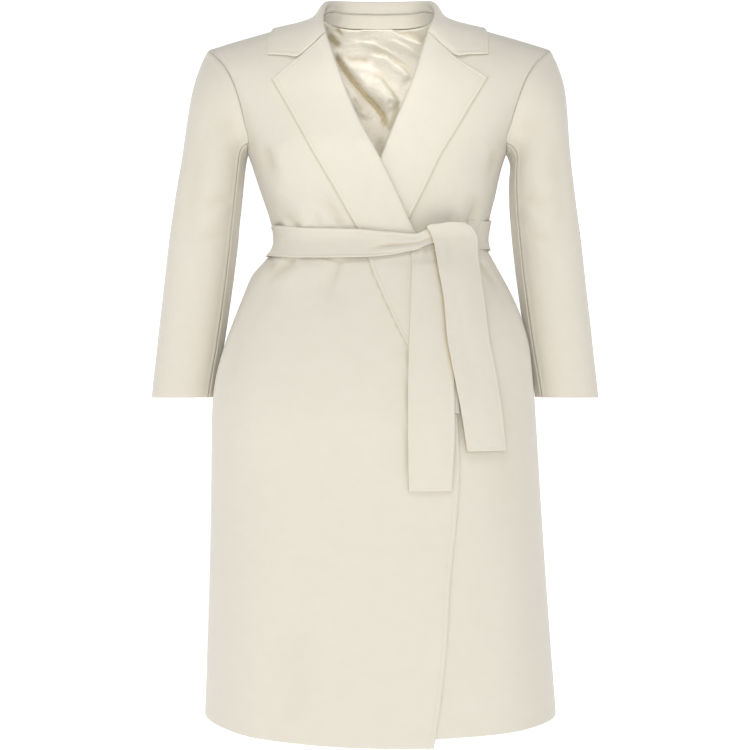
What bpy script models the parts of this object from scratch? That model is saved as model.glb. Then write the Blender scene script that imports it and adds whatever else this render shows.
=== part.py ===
"""Belted wrap coat in double-faced wool, filled out as it hangs when worn.

Metres, +Z up. The coat faces -Y and the wearer's left is +X. The origin lies between the
shoulders at the height of the neck seam, where the wearer carries the coat. Every panel is a
wall under one outer surface, and what lies on a panel is made from that surface, moved out.
"""

import math

import bmesh
import bpy
import numpy as np

# ---------------------------------------------------------------- cloth and clearances
CLOTH = 0.0022          # wall of the double-faced wool
SATIN = 0.0010          # wall of the lining
BELT = 0.0030           # the belt is two layers, pressed flat
GAP = 0.0004            # between pieces that lie on each other
LAPEL_GAP = 0.0009      # between a lapel and the front that it wraps
SEAM_PULL = 0.00022     # each sewn edge stands back from the seam line by this much

# ---------------------------------------------------------------- the coat's own levels
ARMPIT_Z = -0.190
NECK_SEAM_Z = -0.003    # neck seam at the centre back
NECK_POINT_Z = -0.004
GORGE_Z = -0.0385       # where the collar meets the lapel on the roll edge
NECK_HALF = 0.084       # neck point, where the shoulder seam meets the neck seam
LINING_FOOT_Z = -0.40
BODY_ROUND = 2.3        # power of the flattened oval that every level of the body follows


class Table:
    """Rows under named columns, read between the rows by a curve that never overshoots."""

    def __init__(self, columns, *rows):
        ordered = np.array(sorted(rows), float)
        self.at = ordered[:, 0]
        self.values = dict(zip(columns.split()[1:], ordered[:, 1:].T))
        self.slopes = {name: self._slopes(values) for name, values in self.values.items()}

    def _slopes(self, values):
        chord = np.diff(values) / np.diff(self.at)
        slopes = np.empty(len(values))
        slopes[0], slopes[-1] = chord[0], chord[-1]
        before, after = chord[:-1], chord[1:]
        same_way = before * after > 0
        total = np.where(same_way, before + after, 1.0)
        slopes[1:-1] = np.where(same_way, 2 * before * after / total, 0.0)
        return slopes

    def read(self, name, at):
        at = np.clip(at, self.at[0], self.at[-1])
        low = np.clip(np.searchsorted(self.at, at) - 1, 0, len(self.at) - 2)
        step = self.at[low + 1] - self.at[low]
        t = (at - self.at[low]) / step
        values, slopes = self.values[name], self.slopes[name]
        return (values[low] * (1 + 2 * t) * (1 - t) ** 2 + slopes[low] * step * t * (1 - t) ** 2
                + values[low + 1] * t * t * (3 - 2 * t) + slopes[low + 1] * step * t * t * (t - 1))


# Levels of the body: half widths to each side, depths to the front and the back of the side
# seam, and how far the side seam stands back (+) or forward (-).
BODY = Table(
    "z       minus_x plus_x  front  back   side_y",
    (0.040,  0.300,  0.300,  0.098, 0.128, 0.000),
    (-0.047, 0.262,  0.261,  0.104, 0.124, 0.000),
    (-0.083, 0.241,  0.239,  0.113, 0.123, 0.000),
    (-0.123, 0.217,  0.214,  0.122, 0.122, 0.000),
    (-0.155, 0.200,  0.195,  0.128, 0.120, 0.000),
    (-0.190, 0.184,  0.177,  0.132, 0.117, 0.000),
    (-0.228, 0.1715, 0.166,  0.130, 0.111, 0.000),
    (-0.256, 0.162,  0.160,  0.125, 0.105, 0.000),
    (-0.284, 0.153,  0.153,  0.117, 0.099, 0.000),
    (-0.316, 0.148,  0.149,  0.109, 0.095, 0.000),
    (-0.340, 0.160,  0.158,  0.114, 0.103, -0.001),
    (-0.354, 0.172,  0.166,  0.119, 0.110, -0.002),
    (-0.368, 0.180,  0.173,  0.124, 0.118, -0.003),
    (-0.396, 0.191,  0.187,  0.131, 0.131, -0.005),
    (-0.424, 0.202,  0.198,  0.137, 0.143, -0.007),
    (-0.452, 0.2125, 0.206,  0.142, 0.153, -0.009),
    (-0.494, 0.2245, 0.211,  0.148, 0.163, -0.011),
    (-0.536, 0.2315, 0.215,  0.153, 0.169, -0.012),
    (-0.676, 0.2335, 0.2235, 0.162, 0.175, -0.010),
    (-0.816, 0.237,  0.233,  0.170, 0.179, -0.006),
    (-0.970, 0.243,  0.2455, 0.178, 0.184, 0.000),
)
# Height of the shoulder ridge, where the front turns over into the back.
RIDGE = Table(
    "x      z",
    (0.000, 0.030),
    (0.045, 0.022),
    (0.084, -0.004),
    (0.132, -0.0165),
    (0.190, -0.0325),
    (0.2387, -0.0470),
    (0.300, -0.066),
)
# Armhole, from the armpit (step 0) to the shoulder tip: its height, its angle round the body
# on the front and on the back, and how far the front's free edge has climbed to the ridge.
ARMHOLE_STEPS = 11
ARMHOLE = Table(
    "step z       front back  climbed",
    (0,   -0.1900, 90.0, 90.0, 0.000),
    (1,   -0.1880, 81.0, 82.0, 0.100),
    (2,   -0.1830, 73.5, 75.0, 0.200),
    (3,   -0.1730, 68.5, 70.0, 0.300),
    (4,   -0.1580, 66.0, 68.0, 0.410),
    (5,   -0.1380, 62.5, 65.0, 0.520),
    (6,   -0.1150, 59.5, 62.0, 0.630),
    (7,   -0.0940, 58.0, 60.0, 0.735),
    (8,   -0.0755, 58.5, 60.0, 0.830),
    (9,   -0.0625, 60.5, 61.5, 0.905),
    (10,  -0.0535, 62.5, 63.0, 0.965),
    (11,  -0.0470, 63.8, 63.8, 1.000),
)
LOWER_LEVELS = (-0.208, -0.230, -0.254, -0.276, -0.297, -0.320, -0.342, -0.362, -0.386, -0.416,
                -0.456, -0.510, -0.552, -0.605, -0.680, -0.770, -0.875)

# Free edges of the two fronts, x against height, from the neck point to the hem.
EDGE = Table(
    "z       over     under",
    (-0.004, -0.0840, 0.0840),
    (-0.022, -0.0800, 0.0735),
    (-0.043, -0.0745, 0.0665),
    (-0.093, -0.0587, 0.0518),
    (-0.137, -0.0427, 0.0352),
    (-0.169, -0.0285, 0.0217),
    (-0.215, -0.0035, 0.0037),
    (-0.310, 0.0425,  -0.0380),
    (-0.403, 0.0795,  -0.0720),
    (-0.4815, 0.0925, -0.0880),
    (-0.566, 0.1000,  -0.0960),
    (-0.6375, 0.1045, -0.0980),
    (-0.697, 0.0985,  -0.0980),
    (-0.785, 0.0905,  -0.0950),
    (-0.887, 0.0840,  -0.0900),
    (-0.949, 0.0775,  -0.0850),
    (-0.986, 0.0700,  -0.0820),
)
HEM_SIDE_Z = -0.970
HEM_OVER_Z = -0.986     # the over front's corner
HEM_UNDER_Z = -0.976
# The over front stands off the under front by its own wall, two lapels and their gaps. The
# lift grows from nothing at its side seam, over these shares of the half width.
LIFT_FROM, LIFT_OVER = -0.97, 0.25
OVER_LIFT = Table(
    "z       lift",
    (-0.050, 0.0000),
    (-0.120, 0.0003),
    (-0.170, 0.0060),
    (-0.200, 0.0102),
    (-0.335, 0.0104),
    (-0.400, 0.0082),
    (-0.550, 0.0076),
    (-0.640, 0.0036),
    (-0.990, 0.0034),
)

# Lapels: where the roll line stands at each row, and the outer edge that row runs to.
OVER_LAPEL = Table(
    "roll_z  out_x    out_z",
    (-0.0400, -0.1440, -0.1035),
    (-0.075, -0.1310, -0.1260),
    (-0.110, -0.1155, -0.1520),
    (-0.150, -0.0960, -0.1840),
    (-0.195, -0.0750, -0.2210),
    (-0.245, -0.0490, -0.2660),
    (-0.300, -0.0250, -0.3120),
    (-0.350, -0.0130, -0.3570),
    (-0.400, 0.0065,  -0.4040),
    (-0.450, 0.0290,  -0.4520),
    (-0.500, 0.0560,  -0.5000),
    (-0.552, 0.0870,  -0.5500),
)
UNDER_LAPEL = Table(
    "roll_z  out_x   out_z",
    (-0.0400, 0.1449, -0.1003),
    (-0.075, 0.1225, -0.1375),
    (-0.110, 0.1010, -0.1740),
    (-0.150, 0.0800, -0.2085),
    (-0.195, 0.0605, -0.2490),
    (-0.245, 0.0400, -0.2900),
    (-0.290, 0.0260, -0.3170),
    (-0.328, 0.0190, -0.3310),
)
OVER_NOTCH = (-0.1065, -0.0727)
UNDER_NOTCH = (0.1034, -0.0765)
LAPEL_STRIP = 0.011     # the facing turned in behind the roll edge
LAPEL_BULGE = 0.0008    # soft rise of the lapel between its roll and its outer edge

# Collar, from the centre back (0) to the gorge (1): centre of its roll, its outer edge before
# that is laid on the body, how far the fall hangs straight down, and how the gorge bends it.
COLLAR = Table(
    "along  roll_x  roll_y   roll_z   edge_x  edge_y   edge_z   drop  bend   nearer",
    (0.00,  0.0000, 0.0790,  0.0340,  0.0000, 0.1070,  -0.0470, 0.50, 0.000, 0.000),
    (0.20,  0.0425, 0.0700,  0.0330,  0.0560, 0.1000,  -0.0470, 0.50, 0.000, 0.000),
    (0.40,  0.0705, 0.0385,  0.0270,  0.1060, 0.0660,  -0.0400, 0.70, 0.000, 0.000),
    (0.55,  0.0785, 0.0045,  0.0145,  0.1325, 0.0240,  -0.0280, 0.90, 0.000, 0.000),
    (0.70,  0.0800, -0.0270, 0.0000,  0.1440, -0.0180, -0.0300, 0.60, 0.002, 0.001),
    (0.85,  0.0795, -0.0540, -0.0170, 0.1510, -0.0520, -0.0460, 0.20, 0.010, 0.004),
    (1.00,  0.0750, -0.0765, -0.0385, 0.1530, -0.0780, -0.0635, 0.00, 0.0275, 0.005),
)
COLLAR_STRIP = 0.014    # from the roll down to the seam inside the neck
COLLAR_BEND = 1.2       # how much of the gorge's bend turns the way that the leaf falls
COLLAR_REACH = 0.42     # share of its width over which the leaf keeps the way it falls
COLLAR_STEP = 0.01      # share of the collar over which its direction is taken
BELOW_RIDGE = 0.001     # an outward direction at the ridge is taken this far below it
NECK_POINT_ALONG = 0.50 # the stand ends there, and the leaf begins to wrap the front's edge
WRAP_FROM, WRAP_WHOLE = 0.56, 0.86
TUCK_FROM, TUCK_WHOLE = 0.77, 0.93
STRIP_GROWS_FROM = 0.36 # from there on the turned-in strip grows until it reaches the seam
UNDER_BEND = 0.92       # the under front's gorge is bent less
STAND_LEAST = 0.0035    # height that the stand tapers to at the neck point
STRIP_TUCK = -0.0020    # where the strip first meets the front it ends this far above its edge

# Sleeve rings: top and underarm of each ring, half its depth, how far its middle stands back,
# and how much closer to the body the left sleeve hangs than the right one.
SLEEVE = Table(
    "ring outer_x outer_z  inner_x inner_z  half_depth middle_y nearer",
    (0,   0.2387, -0.0470, 0.1840, -0.1900, 0.0600, 0.000, 0.0000),
    (1,   0.2465, -0.0600, 0.1846, -0.1925, 0.0625, 0.000, 0.0003),
    (2,   0.2525, -0.0750, 0.1853, -0.1955, 0.0650, 0.001, 0.0005),
    (3,   0.2580, -0.0920, 0.1861, -0.1995, 0.0675, 0.002, 0.0010),
    (4,   0.2630, -0.1130, 0.1871, -0.2050, 0.0697, 0.003, 0.0025),
    (5,   0.2672, -0.1380, 0.1882, -0.2125, 0.0716, 0.004, 0.0045),
    (6,   0.2717, -0.1680, 0.1895, -0.2230, 0.0730, 0.005, 0.0070),
    (7,   0.2768, -0.2020, 0.1912, -0.2400, 0.0735, 0.006, 0.0090),
    (8,   0.2830, -0.2380, 0.1936, -0.2630, 0.0730, 0.007, 0.0110),
    (9,   0.2888, -0.2750, 0.1968, -0.2920, 0.0715, 0.009, 0.0120),
    (10,  0.2943, -0.3130, 0.2003, -0.3250, 0.0695, 0.011, 0.0122),
    (11,  0.2995, -0.3520, 0.2045, -0.3600, 0.0668, 0.013, 0.0124),
    (12,  0.3045, -0.3920, 0.2095, -0.3960, 0.0638, 0.015, 0.0125),
    (13,  0.3094, -0.4320, 0.2150, -0.4330, 0.0605, 0.017, 0.0125),
    (14,  0.3140, -0.4720, 0.2215, -0.4720, 0.0570, 0.019, 0.0125),
    (15,  0.3180, -0.5040, 0.2275, -0.5040, 0.0540, 0.021, 0.0125),
    (16,  0.3212, -0.5325, 0.2325, -0.5325, 0.0515, 0.022, 0.0125),
)
SLEEVE_RINGS = 16
SLEEVE_ROUND = 2.15
ARMPIT_INNER = {-1: 0.1840, 1: 0.1770}
RINGS_TO_EVEN = 5       # rings over which the armhole's own shape fades into the oval
FORE_SEAM_STEPS = 2     # armhole steps from the armpit to the sleeve's seam on the front
HIND_SEAM_STEPS = 6     # and to its seam on the back
MITRE_FROM, MITRE_OVER = -0.3, 0.6  # how square the walls meet where the rims are mitred
MITRE_LEAST = 0.6

# Belt band, against x across the front; round the back it runs evenly from side to side.
BELT_BAND = Table(
    "x       top      foot     lift",
    (-0.150, -0.2935, -0.3355, 0.0018),
    (-0.140, -0.2960, -0.3380, 0.0055),
    (-0.120, -0.2995, -0.3415, 0.0100),
    (-0.100, -0.3030, -0.3440, 0.0122),
    (-0.060, -0.3055, -0.3453, 0.0128),
    (-0.030, -0.3068, -0.3455, 0.0160),
    (0.000,  -0.3098, -0.3440, 0.0168),
    (0.030,  -0.3121, -0.3391, 0.0168),
    (0.060,  -0.3148, -0.3305, 0.0168),
    (0.135,  -0.2950, -0.3290, 0.0030),
    (0.150,  -0.2850, -0.3270, 0.0018),
)
BELT_START_X = 0.0600
BELT_END_X = 0.1360
BELT_COLUMNS = 46
BELT_MIDDLE_Z = -0.320
BELT_SIDE_X = 0.150      # the band passes to the back here
LEVEL = (1.0, 1.0, 0.0)  # the band and the knot stand out at their own level
STRAIGHT = (0.0, 1.0, 0.0)  # the hanging ends stand straight out in front
KNOT_INSET = 0.0018      # the knot stands clear of both ends of the band
KNOT_EDGE = 0.45         # share of the knot's thickness that is left at its edges

KNOT = Table(
    "x       top      foot     back    thick",
    (0.0614, -0.3115, -0.3300, 0.0170, 0.0040),
    (0.0690, -0.3040, -0.3262, 0.0168, 0.0070),
    (0.0750, -0.3060, -0.3280, 0.0160, 0.0080),
    (0.0880, -0.3060, -0.3380, 0.0130, 0.0082),
    (0.1100, -0.3050, -0.3400, 0.0085, 0.0082),
    (0.1280, -0.3000, -0.3340, 0.0045, 0.0080),
    (0.1340, -0.2970, -0.3310, 0.0036, 0.0045),
)

# Hanging ends of the belt: both edges against height, and how far each edge stands off.
END_EASE = 1.5           # rows lie closer together towards the top of an end
LONG_END = Table(
    "z       left_x  right_x left_lift right_lift",
    (-0.3335, 0.0600, 0.0800, 0.0162, 0.0162),
    (-0.3400, 0.0428, 0.0880, 0.0161, 0.0160),
    (-0.3460, 0.0428, 0.0950, 0.0160, 0.0156),
    (-0.3600, 0.0420, 0.0970, 0.0155, 0.0150),
    (-0.4200, 0.0395, 0.0975, 0.0138, 0.0138),
    (-0.5000, 0.0365, 0.0978, 0.0132, 0.0132),
    (-0.5700, 0.0360, 0.0980, 0.0122, 0.0122),
    (-0.6525, 0.0375, 0.0940, 0.0070, 0.0070),
)
SHORT_END = Table(
    "z       left_x  right_x left_lift right_lift",
    (-0.2985, 0.0720, 0.1080, 0.0262, 0.0194),
    (-0.3040, 0.0638, 0.1180, 0.0266, 0.0185),
    (-0.3120, 0.0662, 0.1248, 0.0266, 0.0178),
    (-0.3260, 0.0713, 0.1295, 0.0262, 0.0168),
    (-0.3590, 0.0766, 0.1345, 0.0240, 0.0135),
    (-0.4000, 0.0836, 0.1395, 0.0205, 0.0110),
    (-0.4500, 0.0875, 0.1450, 0.0190, 0.0095),
    (-0.5000, 0.0965, 0.1550, 0.0180, 0.0080),
    (-0.5500, 0.1060, 0.1625, 0.0140, 0.0065),
    (-0.6010, 0.1138, 0.1680, 0.0090, 0.0050),
)

# Largest folds: a soft ridge (+) or trough (-) along a line, on the front (-1) or back (+1).
FOLD_COLUMNS = "facing x1 z1 x2 z2 half_width height".split()
FOLD_FADES = 0.3, 0.4    # shares of a fold's length over which its two ends fade
HEM_FOLD_FADE = 0.5      # a fold that runs out at the hem fades at its upper end only
HEM_REACH = 0.02
FOLDS = (
    (-1, -0.050, -0.300, -0.092, -0.235, 0.013, -0.0040),
    (-1, -0.072, -0.298, -0.112, -0.240, 0.013, 0.0040),
    (-1, -0.108, -0.300, -0.138, -0.262, 0.012, -0.0040),
    (-1, -0.150, -0.185, -0.134, -0.240, 0.013, -0.0045),
    (-1, 0.118, -0.298, 0.136, -0.248, 0.012, -0.0040),
    (-1, 0.148, -0.182, 0.130, -0.236, 0.013, -0.0040),
    (-1, -0.050, -0.350, -0.068, -0.402, 0.013, -0.0035),
    (-1, -0.110, -0.350, -0.158, -0.396, 0.013, -0.0040),
    (-1, 0.142, -0.350, 0.172, -0.404, 0.013, -0.0040),
    (-1, -0.150, -0.620, -0.162, -0.980, 0.030, 0.0040),
    (-1, 0.160, -0.640, 0.172, -0.980, 0.030, 0.0040),
    (1, -0.060, -0.298, -0.084, -0.225, 0.014, -0.0045),
    (1, 0.020, -0.298, 0.010, -0.235, 0.014, -0.0045),
    (1, 0.088, -0.298, 0.112, -0.232, 0.014, -0.0045),
    (1, -0.075, -0.352, -0.110, -0.440, 0.016, -0.0055),
    (1, 0.012, -0.352, 0.000, -0.450, 0.016, -0.0050),
    (1, 0.085, -0.352, 0.122, -0.436, 0.016, -0.0055),
    (1, -0.105, -0.560, -0.125, -0.980, 0.034, 0.0070),
    (1, 0.015, -0.600, 0.020, -0.980, 0.036, 0.0065),
    (1, 0.120, -0.540, 0.140, -0.980, 0.034, 0.0070),
)

BACK_SHOULDER_COLUMNS = 6
BACK_NECK_COLUMNS = 8
BACK_NECK_ANGLE = 27.0  # angle round the back, at armpit height, of the line to the neck point
FRONT_COLUMNS = 12
LINING_IN_COLUMNS = 3    # columns of the back that the lining leaves at each side
LINING_TOP = 0.002       # the lining's top edge stands this far below the neck seam
SETTLE_ROUNDS = 30       # places that depend on each other are settled in this many rounds


# ---------------------------------------------------------------- the body's outer surface
def unit(vectors):
    return vectors / np.linalg.norm(vectors, axis=-1, keepdims=True)


def smooth(t):
    t = np.clip(t, 0.0, 1.0)
    return t * t * (3 - 2 * t)


def half_width(x, z):
    return np.where(x > 0, BODY.read("plus_x", z), BODY.read("minus_x", z))


def climbed(x, z):
    """How far a point has climbed from the armpits to the shoulder ridge, from 0 to 1."""
    ridge = RIDGE.read("z", np.abs(x))
    return np.clip((z - ARMPIT_Z) / (ridge - ARMPIT_Z), 0.0, 1.0)


def across(x, z):
    """The oval's share of the full depth at this place across the body."""
    return np.clip(1 - (np.abs(x) / half_width(x, z)) ** BODY_ROUND, 0, 1) ** (1 / BODY_ROUND)


def depth(facing, z):
    return np.where(facing < 0, BODY.read("front", z), BODY.read("back", z))


def body_at(x, z, facing):
    """Point of the outer surface straight in front of (-1) or behind (+1) a place x, z."""
    x, z = np.broadcast_arrays(np.asarray(x, float), np.asarray(z, float))
    y = facing * depth(facing, z) * across(x, z) * np.sqrt(1 - climbed(x, z) ** 3)
    return np.stack([x, BODY.read("side_y", z) + y, z], axis=-1)


def body_round(angle, z, facing):
    """Point of the outer surface at an angle in degrees from the centre front or back."""
    angle, z = np.broadcast_arrays(np.asarray(angle, float), np.asarray(z, float))
    s, c = np.sin(np.radians(angle)), np.cos(np.radians(angle))
    x = half_width(s, z) * np.sign(s) * np.abs(s) ** (2 / BODY_ROUND)
    inward = np.maximum(c, 0) ** (2 / BODY_ROUND) * np.sqrt(1 - climbed(x, z) ** 3)
    return np.stack([x, BODY.read("side_y", z) + facing * depth(facing, z) * inward, z], axis=-1)


def angle_of(x, z):
    share = np.clip(np.abs(x) / half_width(x, z), 0, 1)
    return np.sign(x) * np.degrees(np.arcsin(share ** (BODY_ROUND / 2)))


def outside(points):
    """Positive outside the body's surface and negative inside it."""
    x, y, z = np.moveaxis(points, -1, 0)
    from_seam = y - BODY.read("side_y", z)
    facing = np.where(from_seam < 0, -1, 1)
    return ((from_seam / depth(facing, z)) ** 2
            - (1 - climbed(x, z) ** 3) * across(x, z) ** 2)


def slope_of_outside(points):
    step = 0.0005
    slope = np.empty_like(points)
    for axis in range(3):
        shift = np.zeros(3)
        shift[axis] = step
        slope[..., axis] = (outside(points + shift) - outside(points - shift)) / (2 * step)
    return slope


def outward(points):
    return unit(slope_of_outside(points))


def stand_off(points):
    slope = slope_of_outside(points)
    return outside(points) / np.linalg.norm(slope, axis=-1), unit(slope)


def lay_on_body(points, lift):
    for _ in range(8):
        distance, direction = stand_off(points)
        points = points + direction * (lift - distance)[..., None]
    return points


def keep_clear(points, least):
    for _ in range(6):
        distance, direction = stand_off(points)
        points = points + direction * np.maximum(least - distance, 0)[..., None]
    return points


def fold_height(points):
    """Sum of the folds at each point; each fades out across its width and at its ends."""
    x, y, z = np.moveaxis(points, -1, 0)
    facing = np.where(y < BODY.read("side_y", z), -1, 1)
    total = np.zeros(x.shape)
    for row in FOLDS:
        fold = dict(zip(FOLD_COLUMNS, row))
        along = np.array([fold["x2"] - fold["x1"], fold["z2"] - fold["z1"]])
        length = np.linalg.norm(along)
        along = along / length
        dx, dz = x - fold["x1"], z - fold["z1"]
        t = (dx * along[0] + dz * along[1]) / length
        aside = dx * along[1] - dz * along[0]
        end = smooth(t / FOLD_FADES[0]) * smooth((1 - t) / FOLD_FADES[1])
        if fold["z2"] < HEM_OVER_Z + HEM_REACH:
            end = smooth(t / HEM_FOLD_FADE)
        shape = np.exp(-(aside / fold["half_width"]) ** 2)
        total += np.where(facing == fold["facing"], fold["height"] * shape * end, 0.0)
    return total


def over_lift(x, z):
    """How far the over front stands off the body's surface, from its side seam inwards."""
    share = x / half_width(x, z)
    return OVER_LIFT.read("lift", z) * smooth((share - LIFT_FROM) / LIFT_OVER)


def no_lift(x, z):
    return np.zeros(np.broadcast(x, z).shape)


def moved_out(points, lift, ways=(1.0, 1.0, 1.0)):
    """Points lifted off the surface; with fewer ways to go they still clear it by the lift."""
    out = outward(points)
    way = unit(out * np.array(ways))
    reach = (fold_height(points) + lift) / np.sum(way * out, axis=-1)
    return points + way * reach[..., None]


# ---------------------------------------------------------------- walls
class Wall:
    """A wall between two faces: grids of points with the same rows and columns."""

    def __init__(self, face, back):
        self.face, self.back = face, back

    @classmethod
    def under(cls, points, lift, thick, ways=(1.0, 1.0, 1.0)):
        return cls(moved_out(points, lift, ways), moved_out(points, lift - thick, ways))

    def pull(self, row=None, column=None, by=SEAM_PULL):
        """Move an edge row or column towards its neighbour, in the wall's own plane."""
        for grid in (self.face, self.back):
            lines = grid if row is not None else grid.swapaxes(0, 1)
            edge = row if row is not None else column
            neighbour = 1 if edge == 0 else -2
            lines[edge] += unit(lines[neighbour] - lines[edge]) * by
        return self

    def part(self, rows, columns):
        return Wall(self.face[rows, columns].copy(), self.back[rows, columns].copy())


def build_wall(name, wall, material, collection):
    """A grid moved to the back face and extruded to the front face, so it closes all round."""
    rows, columns = wall.face.shape[:2]
    mesh = bpy.data.meshes.new(name)
    work = bmesh.new()
    bmesh.ops.create_grid(work, x_segments=columns - 1, y_segments=rows - 1, size=1)
    station = work.verts.layers.int.new("station")
    back = wall.back.reshape(-1, 3)
    face = wall.face.reshape(-1, 3)
    for index, vert in enumerate(work.verts):
        vert[station] = index
        vert.co = back[index]
    grown = bmesh.ops.extrude_face_region(work, geom=work.faces[:], use_keep_orig=True)
    for item in grown["geom"]:
        if isinstance(item, bmesh.types.BMVert):
            item.co = face[item[station]]
    bmesh.ops.recalc_face_normals(work, faces=work.faces[:])
    work.to_mesh(mesh)
    work.free()
    mesh.shade_smooth()
    mesh.set_sharp_from_angle(angle=math.radians(50))
    mesh.materials.append(material)
    piece = bpy.data.objects.new(name, mesh)
    collection.objects.link(piece)
    return piece


# ---------------------------------------------------------------- body panels
def settle(angle, climb):
    """Heights at which points at these angles have climbed this far to the ridge."""
    z = np.full(np.broadcast(angle, climb).shape, ARMPIT_Z)
    for _ in range(SETTLE_ROUNDS):
        x = body_round(angle, z, -1)[..., 0]
        z = ARMPIT_Z + climb * (RIDGE.read("z", np.abs(x)) - ARMPIT_Z)
    return z


def armhole_edge(column):
    """Angle and climb of each armhole step, from the shoulder tip down to the armpit."""
    steps = np.arange(ARMHOLE_STEPS, -1, -1)
    angle, z = ARMHOLE.read(column, steps), ARMHOLE.read("z", steps)
    climb = climbed(body_round(angle, z, -1)[..., 0], z)
    climb[0] = 1.0
    return angle, climb, ARMHOLE.read("climbed", steps)


def front_points(side, edge_name, hem_z):
    """Base points of a front: rows from the shoulder to the hem, columns from the side in."""
    share = np.linspace(0, 1, FRONT_COLUMNS + 1)
    arm_angle, arm_climb, edge_climb = armhole_edge("front")
    edge_z = edge_climb * 0 + ARMPIT_Z
    for _ in range(SETTLE_ROUNDS):
        edge_x = EDGE.read(edge_name, edge_z)
        edge_z = ARMPIT_Z + edge_climb * (RIDGE.read("z", np.abs(edge_x)) - ARMPIT_Z)
    edge_angle = angle_of(edge_x, edge_z)
    angle = side * arm_angle[:, None] * (1 - share) + edge_angle[:, None] * share
    climb = arm_climb[:, None] * (1 - share) + edge_climb[:, None] * share
    upper = body_round(angle, settle(angle, climb), -1)
    levels = np.array(LOWER_LEVELS)
    angle = side * 90.0 * (1 - share) + angle_of(EDGE.read(edge_name, levels), levels)[:, None] * share
    lower = body_round(angle, levels[:, None] + 0 * share, -1)
    foot = HEM_SIDE_Z + (hem_z - HEM_SIDE_Z) * smooth(share)
    angle = side * 90.0 * (1 - share) + angle_of(EDGE.read(edge_name, hem_z), hem_z) * share
    return np.concatenate([upper, lower, body_round(angle, foot, -1)[None]])


def back_points():
    """Base points of the back: rows from the shoulders to the hem, columns from -X to +X."""
    arm_angle, arm_climb, climb_in = armhole_edge("back")
    shoulder = np.linspace(0, 1, BACK_SHOULDER_COLUMNS + 1)
    neck = np.linspace(0, 1, BACK_NECK_COLUMNS // 2 + 1)[1:]
    top_angle = angle_of(np.array(NECK_HALF), np.array(NECK_SEAM_Z))
    neck_angle = top_angle * climb_in + BACK_NECK_ANGLE * (1 - climb_in)
    half_angle = np.concatenate([
        arm_angle[:, None] * (1 - shoulder) + neck_angle[:, None] * shoulder,
        neck_angle[:, None] * (1 - neck)], axis=1)
    neck_x = body_round(top_angle * (1 - neck), NECK_SEAM_Z, 1)[:, 0]
    half_climb = np.concatenate([
        arm_climb[:, None] * (1 - shoulder) + climb_in[:, None] * shoulder,
        climb_in[:, None] * climbed(neck_x, NECK_SEAM_Z)], axis=1)
    angle = np.concatenate([-half_angle, half_angle[:, -2::-1]], axis=1)
    climb = np.concatenate([half_climb, half_climb[:, -2::-1]], axis=1)
    upper = body_round(angle, settle(angle, climb), 1)
    levels = np.array(LOWER_LEVELS + (HEM_SIDE_Z,))
    lower = body_round(angle[-1] + 0 * levels[:, None], levels[:, None] + 0 * angle[-1], 1)
    return np.concatenate([upper, lower])


# ---------------------------------------------------------------- sleeves
def armhole_loop(front, back, side):
    """Armhole points from the armpit up the front, over the tip and down the back."""
    front_edge = front[:ARMHOLE_STEPS + 1, 0][::-1]
    back_edge = back[:ARMHOLE_STEPS + 1, 0 if side < 0 else -1]
    return np.concatenate([front_edge, back_edge[1:-1]])


def sleeve_rings(loop, side):
    """Rings from the armhole loop to the cuff; each lies in a plane that holds the Y axis."""
    rings = np.arange(SLEEVE_RINGS + 1)
    nearer = SLEEVE.read("nearer", rings) if side > 0 else 0 * rings
    armpit_shift = (SLEEVE.read("inner_x", 0) - ARMPIT_INNER[side]) * (1 - rings / SLEEVE_RINGS) ** 2
    inner_shift = np.maximum(nearer, armpit_shift) if side > 0 else nearer
    outer = np.stack([side * (SLEEVE.read("outer_x", rings) - nearer),
                      SLEEVE.read("middle_y", rings), SLEEVE.read("outer_z", rings)], axis=-1)
    inner = np.stack([side * (SLEEVE.read("inner_x", rings) - inner_shift),
                      SLEEVE.read("middle_y", rings), SLEEVE.read("inner_z", rings)], axis=-1)
    middle, half = (outer + inner) / 2, (outer - inner) / 2
    across_half = np.linalg.norm(half, axis=-1)
    half_depth = SLEEVE.read("half_depth", rings)
    in_plane = (loop - middle[0]) @ (half[0] / across_half[0])
    own = np.arctan2(-(loop[:, 1] - middle[0, 1]) / half_depth[0], in_plane / across_half[0])
    own = np.unwrap(np.concatenate([[np.pi], np.mod(own[1:], 2 * np.pi)]))
    way_round = np.sign(own[2] - own[0])
    even = np.pi + way_round * 2 * np.pi * np.arange(len(loop)) / len(loop)

    def oval(ring, angle):
        c, s = np.cos(angle), np.sin(angle)
        power = 2 / SLEEVE_ROUND
        along = (np.sign(c) * np.abs(c) ** power)[:, None] * half[ring]
        front = np.sign(s) * np.abs(s) ** power * half_depth[ring]
        return middle[ring] + along + front[:, None] * np.array([0.0, -1.0, 0.0])

    own_shape = loop - oval(0, own)
    grid = []
    for ring in rings:
        kept = max(0.0, 1 - ring / RINGS_TO_EVEN)
        angle = own * kept + even * (1 - kept)
        grid.append(oval(ring, angle) + own_shape * kept ** 2)
    return np.array(grid)


def ring_normals(grid):
    """Outward directions on a closed set of rings."""
    down = np.gradient(grid, axis=0)
    round_ = (np.roll(grid, -1, axis=1) - np.roll(grid, 1, axis=1)) / 2
    normal = unit(np.cross(down, round_))
    centre = grid.mean(axis=1, keepdims=True)
    facing_out = np.sum(normal * (grid - centre)) > 0
    return normal if facing_out else -normal


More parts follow.
